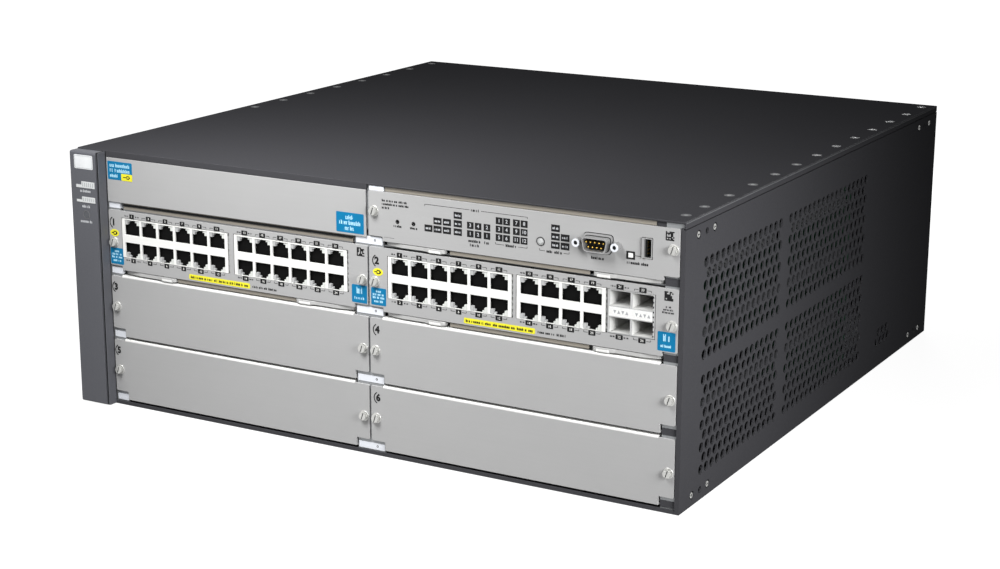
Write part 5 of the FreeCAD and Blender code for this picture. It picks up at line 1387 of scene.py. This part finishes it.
def bezel_captions():
    """A caption under each lamp."""
    marks = Shape()
    for z, wide in ((148.0, 9.0), (137.6, 6.6), (127.3, 10.4)):
        text_bars(marks, BEZEL_MIDDLE - wide / 2, BEZEL_MIDDLE + wide / 2, z, 1.3, [1],
                  face_y=BEZEL_FACE)
    build_print("bezel_captions", marks, [PALE_INK], "chassis")


def status_bezel():
    """Moulded bezel at the left end, with its plate, lamps and captions."""
    bezel_shell()
    badge_plate()
    status_lenses()
    locator_lamp()
    bezel_captions()


# ------------------------------------------------------------------ inside and back
def dress(material, *names):
    """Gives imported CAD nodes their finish."""
    for name in names:
        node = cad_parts[name]
        for slot in node.material_slots:
            slot.material = material
        if not node.material_slots:
            node.data.materials.append(material)


def pan_lip():
    """Dark strip at the foot of the front."""
    strip = Shape()
    strip.box(BEZEL_RIGHT + 0.4, HALF_W - HEM - 0.5, FRONT + 0.05, FRONT + 1.0, 0.02, 2.35)
    build("foot_strip", strip, [DARK_COAT], "chassis", 0.2, ())


def cross_slot(shape, x, z, reach, half, face_y):
    """A black cross standing on a screw's head that looks towards +Y, painted shade for the
    cross recess.
    """
    for a, b in ((reach, half), (half, reach)):
        shape.box(x - a, x + a, face_y, face_y + 0.13, z - b, z + b, 1)


def supply_backs():
    """Rear faces of the power supplies: screws, a lamp and a rim round each inlet."""
    rear = BACK + 0.8
    for index in (1, 2):
        body = "power_supply_%d" % index
        (x0, _, z0), (x1, _, z1) = node_box(body)
        detail = Shape()
        for x in (x0 + 5.0, x1 - 5.0):
            for z in (z0 + 5.5, z1 - 5.5):
                detail.cylinder((x, z), 2.6, rear - 0.2, rear + 0.9)
                cross_slot(detail, x, z, 2.0, 0.3, rear + 0.85)
        detail.cylinder((x1 - 24.0, z0 + 45.0), 2.0, rear - 0.2, rear + 0.8, "Y", 20, 2)
        build("supply_fixings_%d" % index, detail, [NICKEL, BLACK, DARK_LENS], body, 0.12, ())
        (x0, _, z0), (x1, _, z1) = node_box("power_inlet_%d" % index)
        rim = Shape()
        rim.prism(rounded(x0 - 1.6, z0 - 1.6, x1 + 1.6, z1 + 1.6, 2.0), rear - 0.1, rear + 0.7,
                  "Y", 0, [rounded(x0 + 2.0, z0 + 2.0, x1 - 2.0, z1 - 2.0, 1.6)])
        build("inlet_rim_%d" % index, rim, [BLACK], body, 0.25, ())


def rear_fixings():
    """Screws along the upper edge of the rear panel and above the supplies."""
    heads = Shape()
    places = [(x, TOP - 6.5) for x in (-150.0, -60.0, 60.0, 150.0)]
    places += [(x, 92.5) for x in (-186.0, -92.0, 2.0, 108.0, 210.0)]
    for x, z in places:
        heads.cylinder((x, z), 2.7, BACK - 0.1, BACK + 1.1, "Y", 24, 0, 0.4)
        cross_slot(heads, x, z, 1.6, 0.28, BACK + 1.05)
    build("rear_screws", heads, [STEEL_STRIP, BLACK], "chassis", 0.0, ())


def finish_cad_nodes():
    """Finishes of the CAD pieces that show as they are packed."""
    dress(DARK_COAT, "base_pan", "rear_panel", "power_shelf")
    dress(ZINC_DULL, "right_front_bracket", "fan_partition", "centre_divider", "upper_shelf",
          "slot_crossbars", "fan_tray_frame", "power_supply_1", "power_supply_2")
    dress(DARK_GUIDE_AND_SHADE, "card_guides")
    dress(BOARD, "midplane_board", "management_board", "port_module_1_board",
          "port_module_2_board")
    dress(BLACK, "midplane_sockets", "power_inlet_1", "power_inlet_2")
    dress(FAN_BLACK, "fan_frames", "fan_rotor_1", "fan_rotor_2", "fan_rotor_3", "fan_rotor_4")


# ------------------------------------------------------------------ floor, light, camera
def seen_directly(nodes, links):
    """One where the camera, a mirror-like surface or glass looks, nought for soft light."""
    path = nodes.new("ShaderNodeLightPath").outputs
    total = path["Is Camera Ray"]
    for label in ("Is Glossy Ray", "Is Transmission Ray"):
        total = calculate(nodes, links, "ADD", total, path[label])
        total.node.use_clamp = True
    return total


def floor_material():
    """Pale floor that the camera sees as white, with the object's shadow kept near it."""
    material = bpy.data.materials.new("floor_white")
    material.use_nodes = True
    nodes, links = material.node_tree.nodes, material.node_tree.links
    shader = nodes["Principled BSDF"]
    for label, value in (("Base Color", (0.25, 0.25, 0.25, 1.0)), ("Roughness", 0.9),
                         ("Specular IOR Level", 0.0), ("Emission Color", (1.0, 1.0, 1.0, 1.0))):
        shader.inputs[label].default_value = value
    away = nodes.new("ShaderNodeVectorMath")
    away.operation = "LENGTH"
    links.new(nodes.new("ShaderNodeTexCoord").outputs["Object"], away.inputs[0])
    glow = nodes.new("ShaderNodeMapRange")      # over distance from the middle, in metres
    for label, value in (("From Min", 0.30), ("From Max", 0.85), ("To Min", 0.93),
                         ("To Max", 1.05), ("Value", away.outputs["Value"])):
        feed(links, value, glow.inputs[label])
    links.new(calculate(nodes, links, "MULTIPLY", glow.outputs["Result"],
                        seen_directly(nodes, links)), shader.inputs["Emission Strength"])
    return material


def stage():
    """A wide floor, just under the object."""
    reach, level = 6.0, -0.0005
    mesh = bpy.data.meshes.new("floor")
    mesh.from_pydata([(x, y, level) for x, y in rect(-reach, -reach, reach, reach)], [],
                     [(0, 1, 2, 3)])
    mesh.materials.append(floor_material())
    floor = bpy.data.objects.new("floor", mesh)
    bpy.context.scene.collection.objects.link(floor)


def area_light(name, place, target, power, spread):
    """A soft square lamp; a smaller spread keeps its light near the middle of its beam."""
    lamp = bpy.data.lights.new(name, "AREA")
    lamp.shape = "SQUARE"
    lamp.size = 0.25
    lamp.spread = math.radians(spread)
    lamp.energy = power
    holder = bpy.data.objects.new(name, lamp)
    holder.location = place
    direction = Vector(target) - Vector(place)
    holder.rotation_euler = direction.to_track_quat("-Z", "Y").to_euler()
    holder.visible_camera = False
    bpy.context.scene.collection.objects.link(holder)


def lights():
    """A white surround and four lamps; places are in metres."""
    world = bpy.data.worlds.new("studio")
    bpy.context.scene.world = world
    world.use_nodes = True
    nodes, links = world.node_tree.nodes, world.node_tree.links
    background = nodes["Background"]
    background.inputs["Color"].default_value = (1.0, 1.0, 1.0, 1.0)
    level = nodes.new("ShaderNodeMapRange")
    level.inputs["To Min"].default_value = 0.1
    links.new(seen_directly(nodes, links), level.inputs["Value"])
    links.new(level.outputs["Result"], background.inputs["Strength"])
    # low lamps behind and to the left keep those sides readable; they stay under the cover
    area_light("rear_fill", (-0.1, 0.85, 0.13), (0.0, 0.25, 0.08), 1.6, 120.0)
    area_light("left_fill", (-0.8, 0.15, 0.13), (-0.22, 0.05, 0.08), 1.0, 120.0)
    area_light("key", (-0.07, -0.51, 0.53), (-0.06, -0.26, 0.16), 1.6, 100.0)
    area_light("side", (0.62, -0.42, 0.26), (0.22, -0.18, 0.09), 0.66, 65.0)


def camera():
    """Three-quarter view from the right front, a little above."""
    azimuth, elevation, roll = math.radians(29.587), math.radians(14.764), math.radians(0.169)
    backward = Vector((math.sin(azimuth) * math.cos(elevation),
                       -math.cos(azimuth) * math.cos(elevation), math.sin(elevation)))
    right = Vector((math.cos(azimuth), math.sin(azimuth), 0.0))
    up = backward.cross(right)
    turned = right * math.cos(roll) + up * math.sin(roll)
    up = backward.cross(turned)
    lens = bpy.data.cameras.new("camera")
    lens.lens = 72.58
    lens.sensor_width = 36.0
    lens.clip_start = 0.01
    holder = bpy.data.objects.new("camera", lens)
    holder.matrix_world = Matrix.Translation((0.67596, -1.23634, 0.42985)) @ Matrix(
        (turned, up, backward)).transposed().to_4x4()
    bpy.context.scene.collection.objects.link(holder)
    bpy.context.scene.camera = holder


# ------------------------------------------------------------------ assembly
top_cover()
for hand in ("right", "left"):
    side_panel(hand)
front_strips()
corner_blocks()
pan_lip()
status_bezel()
upper_left_panel()
management_module()
for index in (1, 2):
    port_module(index)
for slot, column, row in COVERED:
    slot_cover(slot, column, row)
screws("cover_thumb_screws",
       [(x, slot_floor(row) + SCREW_RISE) for row in (0, 1)
        for left, right in (LEFT_COLUMN, RIGHT_COLUMN)
        for x in (left + SCREW_IN, right - SCREW_IN)], "chassis", "slot_cover_screws")
slot_numbers()
supply_backs()
rear_fixings()
finish_cad_nodes()
stage()
lights()
camera()

bpy.context.scene.view_settings.view_transform = "Standard"
